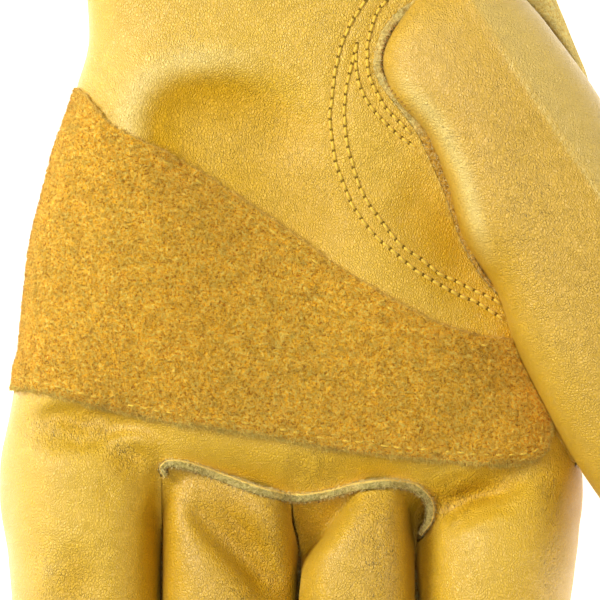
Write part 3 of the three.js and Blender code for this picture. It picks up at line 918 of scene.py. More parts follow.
def build_back(material):
    points, tris = surface_net(*grid_field(
        [HAND, LITTLE, RING, MIDDLE, INDEX], low=(-66, -136, -2), high=(66, 124, 40), step=1.15,
        fillet=4.2, inset=0.6))
    below = -above_side(points) - SEAM_GAP / 2
    turned = side_turn(points) - SEAM_GAP / 2
    mouth = CUFF_END - points[:, 1]
    value = np.minimum.reduce([np.maximum(below, turned), mouth, field_at(THUMB, points) + 1.0])
    edges = [(np.maximum(below, turned), SIDE_ROLL), (mouth, SIDE_ROLL)]
    points, tris, roll = panel(points, tris, value, edges)
    lying = np.clip(points[:, 2] / 6, 0, 1)
    points = moved_along_normals(points, tris, undulation(points, 11) * lying * np.clip(roll / 3, 0, 1))
    points[:, 2] = np.maximum(points[:, 2], 0.02)
    # Painted shadow of the thumb's edge on the back strip, along their seam
    beside_thumb = np.exp(-(roll / 0.7) ** 2) * (points[:, 1] > 38) * (points[:, 0] > 40)
    numbers = {"edge": roll, "seam": beside_thumb}
    piece = panel_piece("back_leather", points, tris, hem_wall(points), material, numbers)
    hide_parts("back")


def build_finger_front(name, limb, low_x, high_x, is_ring, material):
    points, tris = surface_net(*grid_field(
        [HAND, limb], low=(low_x, -136, 12), high=(high_x, -30, 44), step=0.6,
        fillet=1.4 if is_ring else 2.5))
    side = above_side(points) - SEAM_GAP / 2
    inner_line = -WELT_WIDTH - WELT_GAP
    zone = finger_zone(points, inner_line, MIDDLE_TIP_SIDE)
    past_split = points[:, 0] - split_x(points[:, 1])
    share = -past_split if is_ring else past_split
    # The two fronts touch next to the welt and part lower down.
    parted = np.interp(points[:, 1], [-47, -42], [SEAM_GAP / 2, 0.03])
    value = np.minimum.reduce([side, zone, share - parted])
    line_gap, _ = line_distance(points[:, :2], beside(finger_line, inner_line))
    points, tris, roll = panel(points, tris, value, [
        (side, SIDE_ROLL), (line_gap, WELT_ROLL), (cleft_gap(points), CLEFT_ROLL),
        (np.abs(share), SPLIT_ROLL),
    ])
    detail = 0.6 * undulation(points, 21) - crease_depth(points)
    points = moved_along_normals(points, tris, detail * np.clip(roll / 2, 0, 1))
    numbers = leather_numbers(points, roll)
    piece = panel_piece(name + "_leather", points, tris, WALL, material, numbers)
    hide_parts(name)
    return surface_tree(points, tris)


def ridge_side(points):
    """Distance to the right of the pale ridge that runs down the thumb."""
    (ax, ay), (bx, by) = THUMB_RIDGE
    length = math.hypot(bx - ax, by - ay)
    return ((points[:, 1] - ay) * (bx - ax) - (points[:, 0] - ax) * (by - ay)) / length


def build_thumb(material):
    grid = {"low": (6, -64, 4), "high": (104, 78, 54), "step": 0.75}
    field, origin, step = grid_field([THUMB], fillet=4, flat_floor=False, **grid)
    hand_field, _, _ = grid_field([HAND, INDEX], fillet=5, **grid)
    # The thumb's leather runs on from its rounded form to the welt, just under the palm's height.
    points, tris = surface_net(blend_fields(field, hand_field + 0.25, 1.8), origin, step)
    hand = np.minimum(field_at(HAND, points), field_at(INDEX, points))
    zone = thumb_zone(points, thumb_welt_width(share_along(thumb_line)) + WELT_GAP)
    value = np.maximum(zone, hand - 0.2)
    # The leather turns in deeply round the thumb's root, and hardly at all lower down.
    _, place = line_distance(points[:, :2], thumb_line)
    seam_roll = THUMB_ROLL * np.interp(place / place.max(), ROOT_END, [1, 0.35])
    points, tris, roll = panel(points, tris, value, [(value, seam_roll)])
    past_ridge = ridge_side(points)
    ridge = RIDGE_HEIGHT * np.exp(-(past_ridge / np.where(past_ridge < 0, 0.7, 5)) ** 2)
    detail = 0.8 * undulation(points, 31) + ridge * np.clip((points[:, 2] - 30) / 8, 0, 1)
    points = moved_along_normals(points, tris, detail * np.clip(roll / 3, 0, 1))

    gap, place = line_distance(points[:, :2], thumb_line)
    share = place / place.max()
    # A painted highlight: a pale band along the thumb's inner side, beside its welt
    fading = np.interp(share, [0.34, 0.5, 0.8, 0.95], [0, 1, 1, 0])
    painted_highlight_band = fading * np.exp(-((gap - thumb_welt_width(share) - 2.6) / 2.0) ** 2)
    past_ridge = ridge_side(points)
    upper = np.clip((points[:, 2] - 14) / 12, 0, 1)
    # A painted highlight along the thumb's ridge
    painted_ridge_highlight = upper * np.exp(-(past_ridge / 0.3) ** 2) * np.clip((58 - points[:, 1]) / 8, 0, 1)
    numbers = leather_numbers(points, roll, np.maximum(1.1 * painted_highlight_band, painted_ridge_highlight))
    # Painted fill light: the thumb's slope right of its ridge is painted paler
    numbers["pale"] = upper * np.clip(past_ridge / 1.2, 0, 1) * np.clip((76 - points[:, 1]) / 14, 0, 1)
    # Painted shade beside the welt round the thumb's root
    numbers["shade"] = np.interp(share, [0.4, 0.5], [1, 0]) * np.exp(-(roll / 1.3) ** 2)
    piece = panel_piece("thumb_leather", points, tris, WALL, material, numbers)
    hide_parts("thumb")
    return surface_tree(points, tris)


patch_outline = np.concatenate([smooth_line(PATCH_TOP, 1.2), smooth_line(PATCH_BOTTOM, 1.2)])


def build_patch(material):
    field, origin, step = grid_field(
        [HAND, LITTLE, INDEX], low=(-67, -39, 14), high=(58, 56, 44), step=0.46, fillet=5)
    # It lies closer to the palm down its side.
    heights = origin[2] + step * np.arange(field.shape[2])
    lift = PATCH_LIFT * np.interp(heights, [17, 28], [0.4, 1])
    points, tris = surface_net(field - lift[None, None, :], origin, step)

    def lumps(*layers):
        return sum(height * noise(points[:, 0], points[:, 1], size, seed) for height, size, seed in layers)

    ragged = lumps((0.42, 1.2, 41), (0.24, 4.5, 42))
    edge = outline_distance(points[:, :2], patch_outline) + ragged
    side = above_side(points) - SEAM_GAP / 2
    value = np.minimum.reduce([edge, side, field_at(THUMB, points) - 0.25])
    points, tris, _ = panel(points, tris, value, [(edge, PATCH_ROLL), (side, SIDE_ROLL)])
    uneven = lumps((0.12, 1.0, 43), (0.07, 0.75, 44), (0.25, 13, 45))
    points = moved_along_normals(points, tris, uneven)
    numbers = {"edge": outline_distance(points[:, :2], patch_outline)}
    piece = panel_piece("palm_patch_suede", points, tris, PATCH_WALL, material, numbers, inner=-1.0)
    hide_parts("palm_patch")
    return points, tris


# Strips, threads and fibres

def joined(parts):
    """Several meshes, each points and faces, as one."""
    bases = np.cumsum([0] + [len(points) for points, _ in parts[:-1]])
    points = np.concatenate([points for points, _ in parts])
    return points, np.concatenate([faces + base for (_, faces), base in zip(parts, bases)])


def sweep(path, section):
    """A closed strip along a path. section gives (across, up) corners for a share of the way."""
    tangent = unit(np.gradient(path, axis=0))
    up = unit(np.array([0.0, 0.0, 1.0]) - tangent * tangent[:, 2:])
    across = np.cross(tangent, up)
    rings = []
    for k, centre in enumerate(path):
        corners = section(k / (len(path) - 1))
        rings.append(centre + corners[:, :1] * across[k] + corners[:, 1:] * up[k])
    sides = len(rings[0])
    ring = np.arange(sides)
    following = np.roll(ring, -1)
    last = (len(path) - 1) * sides
    hub = len(path) * sides
    faces = []
    for base in range(0, last, sides):
        a = base + ring
        b = base + following
        faces += [np.column_stack([a, b, b + sides]), np.column_stack([a, b + sides, a + sides])]
    faces.append(np.column_stack([following, ring, np.full(sides, hub)]))
    faces.append(np.column_stack([last + ring, last + following, np.full(sides, hub + 1)]))
    return np.concatenate(rings + [path[:1], path[-1:]]), np.concatenate(faces)


def welt_section(widths, standing, seed):
    """The cut edge of a welt: flat sides, and a top that frays unevenly."""
    random = np.random.default_rng(seed)
    shares = np.linspace(0, 1, len(widths))

    def section(share):
        top = standing * (1 + 0.08 * random.normal())
        lean = 0.06 * random.normal()
        half = 0.5 * (1 + 0.03 * random.normal())
        corners = np.array([
            (-half, -2.2),
            (-half, top - 0.35 + lean),
            (-half * 0.75, top - 0.05 + 0.1 * random.normal()),
            (-half * 0.25, top + 0.08 * random.normal()),
            (half * 0.25, top - 0.06 + 0.08 * random.normal()),
            (half * 0.75, top - 0.1 + 0.1 * random.normal()),
            (half, top - 0.4 - lean),
            (half, -2.2),
        ])
        return corners * [np.interp(share, shares, widths), 1]
    return section


def build_welt(name, node, line, heights, standing, widths, material, seed, grain_side):
    """A strip that stands out of the leather, whose heights are given along the line.

    grain_side is 1 where the strip shows smooth leather on its right, or else 0.
    """
    points, faces = sweep(np.column_stack([line, heights]), welt_section(widths, standing, seed))
    piece = make_object(name, points, faces, material, sharp=50)
    across = grain_side * np.array([1, 1, 0.75, 0.25, -0.25, -0.75, -1, -1])
    set_attribute(piece, "grain_side", np.append(np.tile(across, len(line)), [0, 0]))
    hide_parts(node)
    return points, faces


def welt_fuzz(name, strips, count, length, material, seed):
    """Short hairs on the upper faces of one or more strips that build_welt made."""
    points, faces = joined(strips)
    weight = np.concatenate([np.append(np.tile([0.0, 1, 1, 1, 1, 1, 1, 0], len(strip) // 8), [0, 0])
                             for strip, _ in strips])
    upward = face_normals(points, faces)[:, 2]
    if (upward * weight[faces].mean(axis=1)).sum() < 0:
        faces = faces[:, ::-1]
    hairs = fibres(points, faces, count, length, width=0.08, lean=1.0, seed=seed, weight=weight)
    make_object(name, *hairs, material, sharp=0)


def smoothed(values, rounds):
    for _ in range(rounds):
        values = np.convolve(np.pad(values, 1, mode="edge"), [0.25, 0.5, 0.25], mode="valid")
    return values


def thread(path, across, up, thickness, sides):
    """A round thread along a path, open at its hidden ends."""
    angles = np.linspace(0, 2 * np.pi, sides + 1)[:-1, None]
    offsets = across[:, None] * np.cos(angles) + up[:, None] * np.sin(angles)
    base = sides * np.arange(len(path) - 1)[:, None]
    near = base + np.arange(sides)
    following = base + np.roll(np.arange(sides), -1)
    faces = np.stack([near, following, following + sides, near + sides], axis=-1)
    return (path[:, None] + thickness / 2 * offsets).reshape(-1, 3), faces.reshape(-1, 4)


def stitch_row(places, normals, pitch, thickness, sink, rise, share, buried=0.0):
    """Thread stitches along a path, and the place, normal and direction of each needle hole.

    share is how much of the pitch a stitch fills, and buried is how deep the nap hides some.
    """
    along = length_along(places)
    count = max(1, int(along[-1] / pitch))
    step = along[-1] / count
    profile = np.array([
        (0, -sink), (0.12, 0), (0.3, rise), (0.5, rise * 1.15), (0.7, rise), (0.88, 0), (1, -sink),
    ])
    random = np.random.default_rng(int(1000 * along[-1]))

    def at(distance, values):
        return np.column_stack([np.interp(distance, along, values[:, k]) for k in range(3)])

    parts = []
    holes = []
    for k in range(count):
        wander = random.normal(0, 0.05, 2)
        hidden = buried * random.random() + random.normal(0, 0.02)
        distance = k * step + step * (1 - share) / 2 + profile[:, 0] * step * share
        up = unit(at(distance, normals))
        path = at(distance, places) + up * (profile[:, 1:] - hidden)
        tangent = unit(np.gradient(path, axis=0))
        across = unit(np.cross(tangent, up))
        up = np.cross(across, tangent)
        parts.append(thread(path + across * wander[0], across, up, thickness, 6))
        holes.append((at([k * step], places)[0], unit(at([k * step], normals)[0]), tangent[0]))
    return joined(parts), holes


def whip_stitches(line, heights, pitch, length, thickness, seed):
    """Short threads laid across a seam, each bent down at its ends."""
    random = np.random.default_rng(seed)
    step = np.linalg.norm(line[1] - line[0])
    tangent = unit(np.gradient(line, axis=0))
    profile = np.array([(-0.5, -0.5), (-0.32, 0.02), (0.0, 0.12), (0.32, 0.02), (0.5, -0.5)])
    up = np.tile([0.0, 0.0, 1.0], (len(profile), 1))
    parts = []
    for k in np.arange(2, len(line) - 2, pitch / step):
        k = int(k + random.uniform(-0.2, 0.2) * pitch / step)
        forward = np.array([*tangent[k], 0.0])
        across = np.array([-tangent[k][1], tangent[k][0], 0.0]) + forward * random.normal(0.35, 0.15)
        reach = length * random.uniform(0.8, 1.15)
        path = np.array([*line[k], heights[k]]) + across * profile[:, :1] * reach
        path[:, 2] += profile[:, 1] - random.uniform(0, 0.12)
        parts.append(thread(path, np.tile(forward, (len(profile), 1)), up, thickness, 5))
    return joined(parts)


def hole_marks(holes):
    """Small dark dimples where the needle went through."""
    sides = 10
    ring = np.arange(sides)
    angles = np.linspace(0, 2 * np.pi, sides + 1)[:-1, None]
    faces = np.column_stack([ring, np.roll(ring, -1), np.full(sides, sides)])
    parts = []
    for place, normal, tangent in holes:
        across = unit(np.cross(normal, tangent))
        forward = np.cross(across, normal)
        reach = HOLE_RADIUS * (forward * 1.1 * np.cos(angles) + across * 0.95 * np.sin(angles))
        parts.append((np.vstack([place + normal * 0.05 + reach, place + normal * 0.03]), faces))
    return joined(parts)


def fibres(points, tris, count, length, width, lean, seed, weight=None):
    """Short loose hairs standing out of a surface."""
    random = np.random.default_rng(seed)
    normal = face_normals(points, tris)
    chance = np.linalg.norm(normal, axis=1)
    if weight is not None:
        chance = chance * weight[tris].mean(axis=1)
    chosen = random.choice(len(tris), count, p=chance / chance.sum())
    a = random.random((count, 1))
    b = random.random((count, 1))
    flip = (a + b) > 1
    a = np.where(flip, 1 - a, a)
    b = np.where(flip, 1 - b, b)
    first, second, third = (points[tris[chosen, k]] for k in range(3))
    root = first * (1 - a - b) + second * a + third * b
    out = unit(normal[chosen])
    side = unit(np.cross(out, random.normal(size=(count, 3))))
    forward = np.cross(side, out)
    tilt = lean * (0.5 + random.random((count, 1)))
    reach = length * (0.5 + random.random((count, 1)))
    middle = root + reach * 0.55 * (out + 0.5 * tilt * forward)
    end = root + reach * (out * 0.75 + tilt * forward)
    half = side * width / 2
    corners = np.stack([root - half, root + half, middle - half * 0.8, middle + half * 0.8, end], axis=1)
    base = 5 * np.arange(count)[:, None]
    return corners.reshape(-1, 3), np.concatenate([base + tri for tri in ([0, 1, 3], [0, 3, 2], [2, 3, 4])])


def places_on(tree, corners, spacing, rounds):
    """Places and normals where a line drawn from above lies on the leather."""
    hits = [on_top([tree], x, y) for x, y in smooth_line(corners, spacing)]
    places, normals = (np.array([hit[k] for hit in hits if hit is not None]) for k in (0, 1))
    places[:, 2] = smoothed(places[:, 2], rounds)
    return places, unit(np.column_stack([smoothed(normals[:, k], rounds) for k in range(3)]))


def top_heights(trees, line, rounds=10):
    """Heights of the leather along a line, and of its last place where there is none."""
    heights = []
    last = WELT_HEIGHT
    for x, y in line:
        hit = on_top(trees, x, y)
        if hit is not None:
            last = hit[0].z
        heights.append(last)
    return smoothed(np.array(heights), rounds)


def build_stitches(palm_tree, patch_tree, material, dark):
    rows = [stitch_row(*places_on(palm_tree, row["corners"], spacing=0.4, rounds=8), row["pitch"],
                       THREAD, sink=0.35, rise=0.12, share=0.74) for row in STITCH_ROWS.values()]
    make_object("palm_stitches", *joined([mesh for mesh, _ in rows]), material, sharp=0)
    holes = [hole for _, row_holes in rows for hole in row_holes]
    make_object("stitch_holes", *hole_marks(holes), dark, sharp=0)
    rows = []
    for corners, buried in ((PATCH_TOP, 0.55), (PATCH_BOTTOM, 0.3)):
        line = beside(smooth_line(corners, 2.0), -PATCH_STITCH_INSET)
        mesh, _ = stitch_row(*places_on(patch_tree, line, spacing=0.5, rounds=2), 2.7, PATCH_THREAD,
                             sink=0.4, rise=0.1, share=0.6, buried=buried)
        rows.append(mesh)
    make_object("patch_stitches", *joined(rows), material, sharp=0)


# Materials

class Look:
    """A material and short ways to add to it. An input takes a number, a colour or a socket."""

    def __init__(self, name):
        self.material = bpy.data.materials.new(name)
        self.material.use_nodes = True
        self.tree = self.material.node_tree

    def fill(self, node, inputs):
        for key, value in inputs.items():
            socket = node.inputs[key]
            if isinstance(value, bpy.types.NodeSocket):
                self.tree.links.new(value, socket)
            elif socket.type == "RGBA":
                socket.default_value = (*value, 1)
            else:
                socket.default_value = value

    def finish(self, inputs):
        """Sets the inputs of the shader itself."""
        self.fill(self.tree.nodes["Principled BSDF"], inputs)
        return self.material

    def add(self, kind, output, inputs, **settings):
        node = self.tree.nodes.new("ShaderNode" + kind)
        for key, value in settings.items():
            setattr(node, key, value)
        self.fill(node, inputs)
        return node.outputs[output]

    def point(self):
        return self.add("TexCoord", "Object", {})

    def attribute(self, name):
        return self.add("Attribute", "Fac", {}, attribute_name=name)

    def plus(self, a, b):
        return self.add("Math", 0, {0: a, 1: b}, operation="ADD")

    def minus(self, a, b):
        return self.add("Math", 0, {0: a, 1: b}, operation="SUBTRACT")

    def times(self, a, b):
        return self.add("Math", 0, {0: a, 1: b}, operation="MULTIPLY")

    def clamp(self, value):
        return self.add("Clamp", "Result", {"Value": value})

    def noise(self, point, scale, detail, roughness, output="Fac"):
        inputs = {"Vector": point, "Scale": scale, "Detail": detail, "Roughness": roughness}
        return self.add("TexNoise", output, inputs)

    def ramp(self, value, *stops):
        node = self.tree.nodes.new("ShaderNodeValToRGB")
        elements = node.color_ramp.elements
        while len(elements) < len(stops):
            elements.new(0.5)
        for element, (place, colour) in zip(elements, stops):
            element.position = place
            element.color = (*colour, 1)
        self.fill(node, {"Fac": value})
        return node.outputs["Color"]

    def mix(self, share, a, b, blend="MIX"):
        """The node keeps its colours in the inputs 6 and 7 and the output 2."""
        return self.add("Mix", 2, {0: share, 6: a, 7: b}, data_type="RGBA", blend_type=blend)

    def tint(self, colour, by):
        return self.mix(1.0, colour, by, "MULTIPLY")

    def bump(self, height, strength, distance, over=None):
        inputs = {"Strength": strength, "Distance": distance, "Height": height}
        if over is not None:
            inputs["Normal"] = over
        return self.add("Bump", "Normal", inputs)

    def bent(self, point, scale, reach):
        """The point moved about by noise, so that rows of cells don't run straight."""
        wander = self.noise(point, scale, 2, 0.5, "Color")
        centred = self.add("VectorMath", 0, {0: wander, 1: (0.5, 0.5, 0.5)}, operation="SUBTRACT")
        scaled = self.add("VectorMath", 0, {0: centred, "Scale": reach}, operation="SCALE")
        return self.add("VectorMath", 0, {0: point, 1: scaled}, operation="ADD")

    def cells(self, point, scale, stretch, turn, gain):
        """Cells with sunken edges, as a height from 0 to 1. turn is that of their rows, in degrees."""
        turned = self.add("VectorRotate", 0, {"Vector": point, "Angle": math.radians(turn)},
                          rotation_type="Z_AXIS")
        stretched = self.add("Mapping", 0, {"Vector": turned, "Scale": stretch})
        inputs = {"Vector": stretched, "Scale": scale, "Randomness": 1.0}
        distance = self.add("TexVoronoi", "Distance", inputs, feature="DISTANCE_TO_EDGE")
        return self.clamp(self.times(distance, gain))


def linear(*colour):
    """A colour given as 0 to 255 on screen, as the shader wants it."""
    shares = [value / 255 for value in colour]
    return tuple(share / 12.92 if share <= 0.04045 else ((share + 0.055) / 1.055) ** 2.4 for share in shares)


BLACK = (0, 0, 0)
WHITE = (1, 1, 1)
# Painted fill light colour, for the thumb's right side
PAINTED_FILL_LIGHT = linear(222, 194, 104)
# Painted shade colour, beside the thumb's welt
PAINTED_SEAM_SHADE = linear(138, 92, 18)
# Painted highlight colour
PAINTED_HIGHLIGHT_CREAM = linear(255, 232, 140)


def grain_leather(name, light, dark, painted_edge_tone, turn=0.0):
    look = Look(name)
    point = look.point()
    bent = look.bent(point, 260, 0.0016)
    pebble = look.cells(bent, 2100, (1.0, 0.75, 1.0), turn, 3.6)
    crackle = look.cells(bent, 1300, (1.2, 0.66, 1.0), turn, 4.4)
    some = look.clamp(look.times(look.minus(look.noise(point, 75, 2, 0.5), 0.42), 3.0))
    wrinkle = look.clamp(look.plus(look.attribute("wrinkle"), look.times(some, 0.25)))
    colour = look.ramp(look.noise(point, 38, 3, 0.55), (0.3, dark), (0.7, light))
    colour = look.tint(colour, look.ramp(pebble, (0.0, (0.88, 0.83, 0.68)), (0.6, WHITE)))
    folds = look.ramp(crackle, (0.0, (0.92, 0.86, 0.70)), (0.5, WHITE))
    colour = look.mix(wrinkle, colour, look.tint(colour, folds))
    # Painted shade: the colour is tinted darker in dents, hollows and shaded spots
    painted_shade = look.attribute("painted_shade")
    colour = look.mix(painted_shade, colour, look.tint(colour, (0.82, 0.72, 0.16)))
    # Painted light and shade at the panel edges: lighter as a painted rim highlight on the palm and fingers,
    # darker as painted shade on the thumb
    near = look.clamp(look.minus(1.0, look.times(look.attribute("edge"), 0.7)))
    colour = look.mix(look.times(near, 0.5), colour, painted_edge_tone)
    # Painted light and shade: pale is a painted fill light, lip a painted highlight, shade painted shade
    for key, share, over in (("pale", 0.55, PAINTED_FILL_LIGHT), ("lip", 0.5, PAINTED_HIGHLIGHT_CREAM), ("shade", 0.8, PAINTED_SEAM_SHADE)):
        colour = look.mix(look.times(look.attribute(key), share), colour, over)
    fine = look.noise(point, 1300, 4, 0.65)
    grain = look.plus(look.times(pebble, 0.6), look.times(fine, 0.5))
    deep = look.times(crackle, wrinkle)
    # The leather also shines less where shade is painted, which keeps that shade deep.
    open_share = look.minus(1.0, look.times(painted_shade, 0.85))
    return look.finish({
        "Base Color": colour,
        "Roughness": 0.46,
        "Normal": look.bump(deep, 0.85, 0.00027, look.bump(grain, 0.9, 0.0003)),
        "Specular IOR Level": look.times(open_share, 0.55),
        "Coat Weight": look.times(open_share, 0.9),
        "Coat Roughness": 0.42,
        "Coat Normal": look.bump(grain, 0.4, 0.0002),
    })


def suede_leather(name, light, middle, dark, cut_edge=None, seam_shade=None):
    look = Look(name)
    point = look.point()
    bent = look.bent(point, 900, 0.0009)
    clumps = look.noise(bent, 1550, 4, 0.62)
    fluff = look.noise(bent, 3000, 2, 0.6)
    both = look.plus(look.times(clumps, 0.66), look.times(fluff, 0.34))
    colour = look.ramp(both, (0.37, dark), (0.5, middle), (0.63, light))
    colour = look.mix(look.times(look.attribute("tip"), 0.6), colour, light)
    broad = look.noise(point, 32, 3, 0.5)
    colour = look.tint(colour, look.ramp(broad, (0.3, (0.92, 0.93, 0.95)), (0.7, (1.04, 1.02, 0.96))))
    tufts = look.noise(point, 420, 3, 0.6)
    colour = look.tint(colour, look.ramp(tufts, (0.36, (0.90, 0.88, 0.82)), (0.62, (1.14, 1.12, 1.08))))
    if cut_edge is not None:
        from_edge = look.plus(look.attribute("edge"), look.times(clumps, 0.5))
        colour = look.mix(look.ramp(from_edge, (0.5, WHITE), (0.85, BLACK)), colour, cut_edge)
    if seam_shade is not None:
        beside_seam = look.ramp(look.attribute("seam"), (0.0, BLACK), (1.0, WHITE))
        colour = look.mix(beside_seam, colour, seam_shade)
    return look.finish({
        "Base Color": colour,
        "Roughness": 0.95,
        "Normal": look.bump(fluff, 0.8, 0.0004, look.bump(clumps, 1.0, 0.0009)),
        "Specular IOR Level": 0.12,
        "Sheen Weight": 0.10,
        "Sheen Roughness": 0.6,
    })


def raw_edge_material(name, light, dark, grain):
    look = Look(name)
    point = look.point()
    fuzz = look.noise(point, 1500, 3, 0.65)
    streak = look.noise(point, 300, 2, 0.5)
    colour = look.ramp(fuzz, (0.33, dark), (0.64, light))
    colour = look.tint(colour, look.ramp(streak, (0.35, (0.8, 0.84, 0.8)), (0.65, (1.1, 1.08, 1.0))))
    grain_side = look.plus(look.attribute("grain_side"), look.times(fuzz, 0.5))
    colour = look.mix(look.ramp(grain_side, (0.7, BLACK), (0.95, WHITE)), colour, grain)
    flesh = look.ramp(fuzz, (0.36, linear(150, 104, 20)), (0.62, linear(214, 166, 58)))
    return look.finish({
        "Base Color": look.mix(look.attribute("flesh"), colour, flesh),
        "Roughness": 0.92,
        "Normal": look.bump(fuzz, 0.8, 0.0004),
        "Specular IOR Level": 0.2,
    })


def plain_material(name, colour, roughness, sheen=0.0):
    look = Look(name)
    speck = look.noise(look.point(), 1800, 2, 0.5)
    dark = tuple(0.78 * channel for channel in colour)
    return look.finish({
        "Base Color": look.ramp(speck, (0.35, dark), (0.65, colour)),
        "Roughness": roughness,
        "Specular IOR Level": 0.4,
        "Sheen Weight": sheen,
    })


# The last colour of each grain leather is painted along its edges: a painted rim highlight on the palm and
# fingers, painted shade on the thumb
palm_grain = grain_leather(
    "grain_leather_palm", linear(246, 200, 36), linear(240, 191, 22), linear(250, 212, 84))
finger_grain = grain_leather(
    "grain_leather_fingers", linear(236, 188, 22), linear(228, 178, 10), linear(246, 204, 72))
thumb_grain = grain_leather(
    "grain_leather_thumb", linear(238, 190, 40), linear(228, 180, 24), linear(196, 140, 30), turn=-27)
back_split = suede_leather(
    "split_leather_back", linear(255, 238, 166), linear(254, 224, 128), linear(224, 184, 80),
    seam_shade=linear(120, 80, 14))
patch_colours = (linear(255, 228, 112), linear(254, 192, 38), linear(194, 116, 0))
patch_suede = suede_leather("suede_patch", *patch_colours, cut_edge=linear(244, 196, 84))
nap_suede = suede_leather("suede_nap", *patch_colours)
fray_suede = suede_leather("suede_fray", linear(255, 232, 120), linear(255, 216, 88), linear(240, 190, 56))
welt_edge = raw_edge_material(
    "raw_edge_leather", linear(214, 196, 118), linear(152, 130, 60), linear(250, 216, 110))
fuzz_pale = plain_material("raw_edge_fuzz", linear(238, 216, 140), roughness=0.9)
thumb_welt_edge = raw_edge_material(
    "raw_edge_thumb", linear(240, 214, 130), linear(186, 152, 70), linear(236, 196, 90))
thread_yellow = plain_material("yellow_thread", linear(250, 208, 62), roughness=0.6, sheen=0.3)
hole_dark = plain_material("needle_holes", linear(132, 100, 16), roughness=0.9)
thread_brown = plain_material("brown_thread", linear(176, 124, 40), roughness=0.7, sheen=0.2)

palm_tree = build_palm(palm_grain)
build_back(back_split)
ring_tree = build_finger_front("ring_front", RING, -31, 2, is_ring=True, material=finger_grain)
middle_tree = build_finger_front("middle_front", MIDDLE, -4, 28, is_ring=False, material=finger_grain)
thumb_tree = build_thumb(thumb_grain)
patch_points, patch_tris = build_patch(patch_suede)
build_stitches(palm_tree, surface_tree(patch_points, patch_tris), thread_yellow, hole_dark)

# The finger-base welt stands in the seam between the palm and the two finger fronts.
welt_line = smooth_line(beside(finger_line, -WELT_WIDTH / 2), FINE)
heights = smoothed(np.maximum(
    top_heights([palm_tree], beside(welt_line, WELT_WIDTH / 2 + 0.9)),
    top_heights([ring_tree, middle_tree], beside(welt_line, -WELT_WIDTH / 2 - 0.9)),
), 20)
from_start = np.cumsum(np.full(len(welt_line), FINE))
widths = WELT_WIDTH * np.interp(np.minimum(from_start, from_start[::-1]), [0, 2, 6], [0.3, 0.6, 1])
before_split = welt_line[:, 0] < split_x(welt_line[:, 1])
strips = []
for name, part, seed in (("ring_welt", before_split, 51), ("middle_welt", ~before_split, 52)):
    strips.append(build_welt(name + "_edge", name, welt_line[part], heights[part], standing=0.7,
                             widths=widths[part], material=welt_edge, seed=seed, grain_side=1))

welt_line = smooth_line(beside(thumb_line, thumb_welt_width(share_along(thumb_line)) / 2), FINE)
share = share_along(welt_line)
widths = thumb_welt_width(share)
heights = top_heights([palm_tree], beside(welt_line, -widths / 2 - 1.2), 20)
heights = heights + np.interp(share, ROOT_END, [0, -0.5])
strip = build_welt("thumb_welt_edge", "thumb_welt", welt_line, heights, standing=0.6,
                   widths=widths, material=thumb_welt_edge, seed=53, grain_side=0)
flesh = np.repeat(np.interp(share, [0.5, 0.56], [0, 1]), 8)
set_attribute(bpy.data.objects["thumb_welt_edge"], "flesh", np.append(flesh, [0, 1]))

# Small stitches along the finger side of the welt and the thumb side of the thumb's welt
stitched = beside(smooth_line(finger_line, FINE), -WELT_WIDTH - 0.1)
heights = top_heights([palm_tree, ring_tree, middle_tree], stitched, 12)
clear = slice(12, -16)
stitches = whip_stitches(stitched[clear], heights[clear], pitch=1.25, length=1.1, thickness=0.34, seed=71)
make_object("finger_welt_stitches", *stitches, thread_brown, sharp=0)
fine_line = smooth_line(thumb_line, FINE)
share = share_along(fine_line)
stitched = beside(fine_line, thumb_welt_width(share) - 0.1)
heights = top_heights([palm_tree, thumb_tree], stitched, 12) - 0.1
clear = slice(*np.searchsorted(share, [0.2, 0.5]))
stitches = whip_stitches(stitched[clear], heights[clear], pitch=1.0, length=1.0, thickness=0.3, seed=72)
make_object("thumb_welt_stitches", *stitches, thread_brown, sharp=0)

# Short fuzz on the cut edges of the welts
welt_fuzz("finger_welt_fuzz", strips, count=4200, length=0.55, material=fuzz_pale, seed=81)
welt_fuzz("thumb_welt_fuzz", [strip], count=3600, length=0.5, material=fuzz_pale, seed=82)

# Nap of the patch: short hairs all over, and longer ones along its bottom cut edge
bottom_gap, _ = line_distance(patch_points[:, :2], smooth_line(PATCH_BOTTOM, 1.2))
points, faces = fibres(
    patch_points, patch_tris, count=50000, length=0.5, width=0.095, lean=1.4, seed=61)
nap = make_object("patch_nap", points, faces, nap_suede, sharp=0)
set_attribute(nap, "tip", np.tile([0, 0, 0.6, 0.6, 1], len(points) // 5))
edge_weight = np.exp(-bottom_gap / 0.4)
points, faces = fibres(
    patch_points, patch_tris, count=5000, length=0.62, width=0.09, lean=1.2, seed=62, weight=edge_weight)
fray = make_object("patch_edge_fray", points, faces, fray_suede, sharp=0)
set_attribute(fray, "tip", np.tile([0.3, 0.3, 0.8, 0.8, 1.2], len(points) // 5))

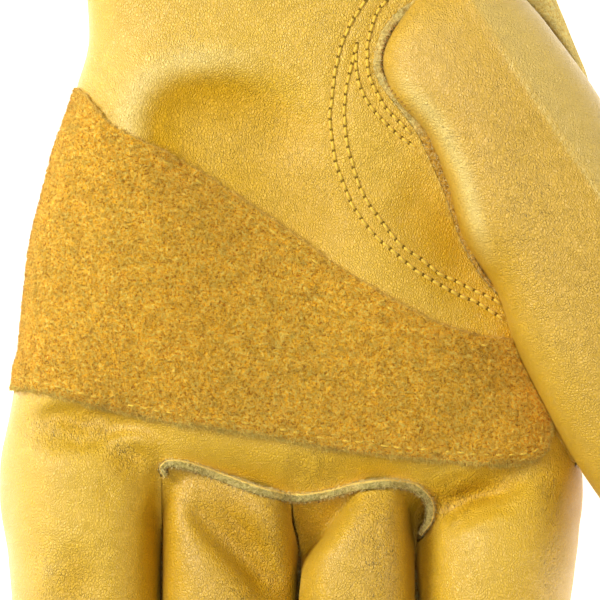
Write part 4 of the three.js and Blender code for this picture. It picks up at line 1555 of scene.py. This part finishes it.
# The pale plain surface that the glove lies on
FLOOR_REACH = 3000
floor_material = Look("pale_floor").finish({
    "Base Color": (0.92, 0.92, 0.92),
    "Roughness": 0.9,
    "Emission Color": WHITE,
    "Emission Strength": 0.9,
    "Specular IOR Level": 0.1,
})
floor_points = np.array([(-1, -1, 0), (1, -1, 0), (1, 1, 0), (-1, 1, 0)]) * FLOOR_REACH
floor = make_object("floor", floor_points, [(0, 1, 2, 3)], floor_material, body=None, sharp=0)


# Lights and the camera are placed in metres.
LIT_PLACE = (0, 0, 0.02)


def area_light(name, place, size, power, colour=WHITE):
    light = bpy.data.lights.new(name, "AREA")
    light.color = colour
    light.size = size
    light.energy = power
    holder = bpy.data.objects.new(name, light)
    bpy.context.scene.collection.objects.link(holder)
    holder.location = place
    direction = Vector(LIT_PLACE) - Vector(place)
    holder.rotation_euler = direction.to_track_quat("-Z", "Y").to_euler()


area_light("key_light", (-1.05, 0.45, 0.8), size=0.7, power=18.4)
area_light("rim_light", (1.3, -0.25, 0.16), size=0.9, power=10.5, colour=(1.0, 0.9, 0.6))
area_light("top_light", (-0.1, 0.1, 1.5), size=1.2, power=8.3)

world = bpy.data.worlds.new("plain_world")
bpy.context.scene.world = world
world.use_nodes = True
world.node_tree.nodes["Background"].inputs["Color"].default_value = (*WHITE, 1)
world.node_tree.nodes["Background"].inputs["Strength"].default_value = 0.24
bpy.context.scene.view_settings.view_transform = "Standard"

CAMERA_DISTANCE = 2.0
PICTURE_WIDTH = 0.1277
PALM_HEIGHT = 0.030
SENSOR_WIDTH = 36
camera_data = bpy.data.cameras.new("photo_camera")
camera_data.sensor_width = SENSOR_WIDTH
camera_data.lens = SENSOR_WIDTH * CAMERA_DISTANCE / PICTURE_WIDTH
camera_data.clip_end = 10
camera = bpy.data.objects.new("photo_camera", camera_data)
bpy.context.scene.collection.objects.link(camera)
camera.location = (0, 0, PALM_HEIGHT + CAMERA_DISTANCE)
camera.rotation_euler = (0, 0, 0)
bpy.context.scene.camera = camera
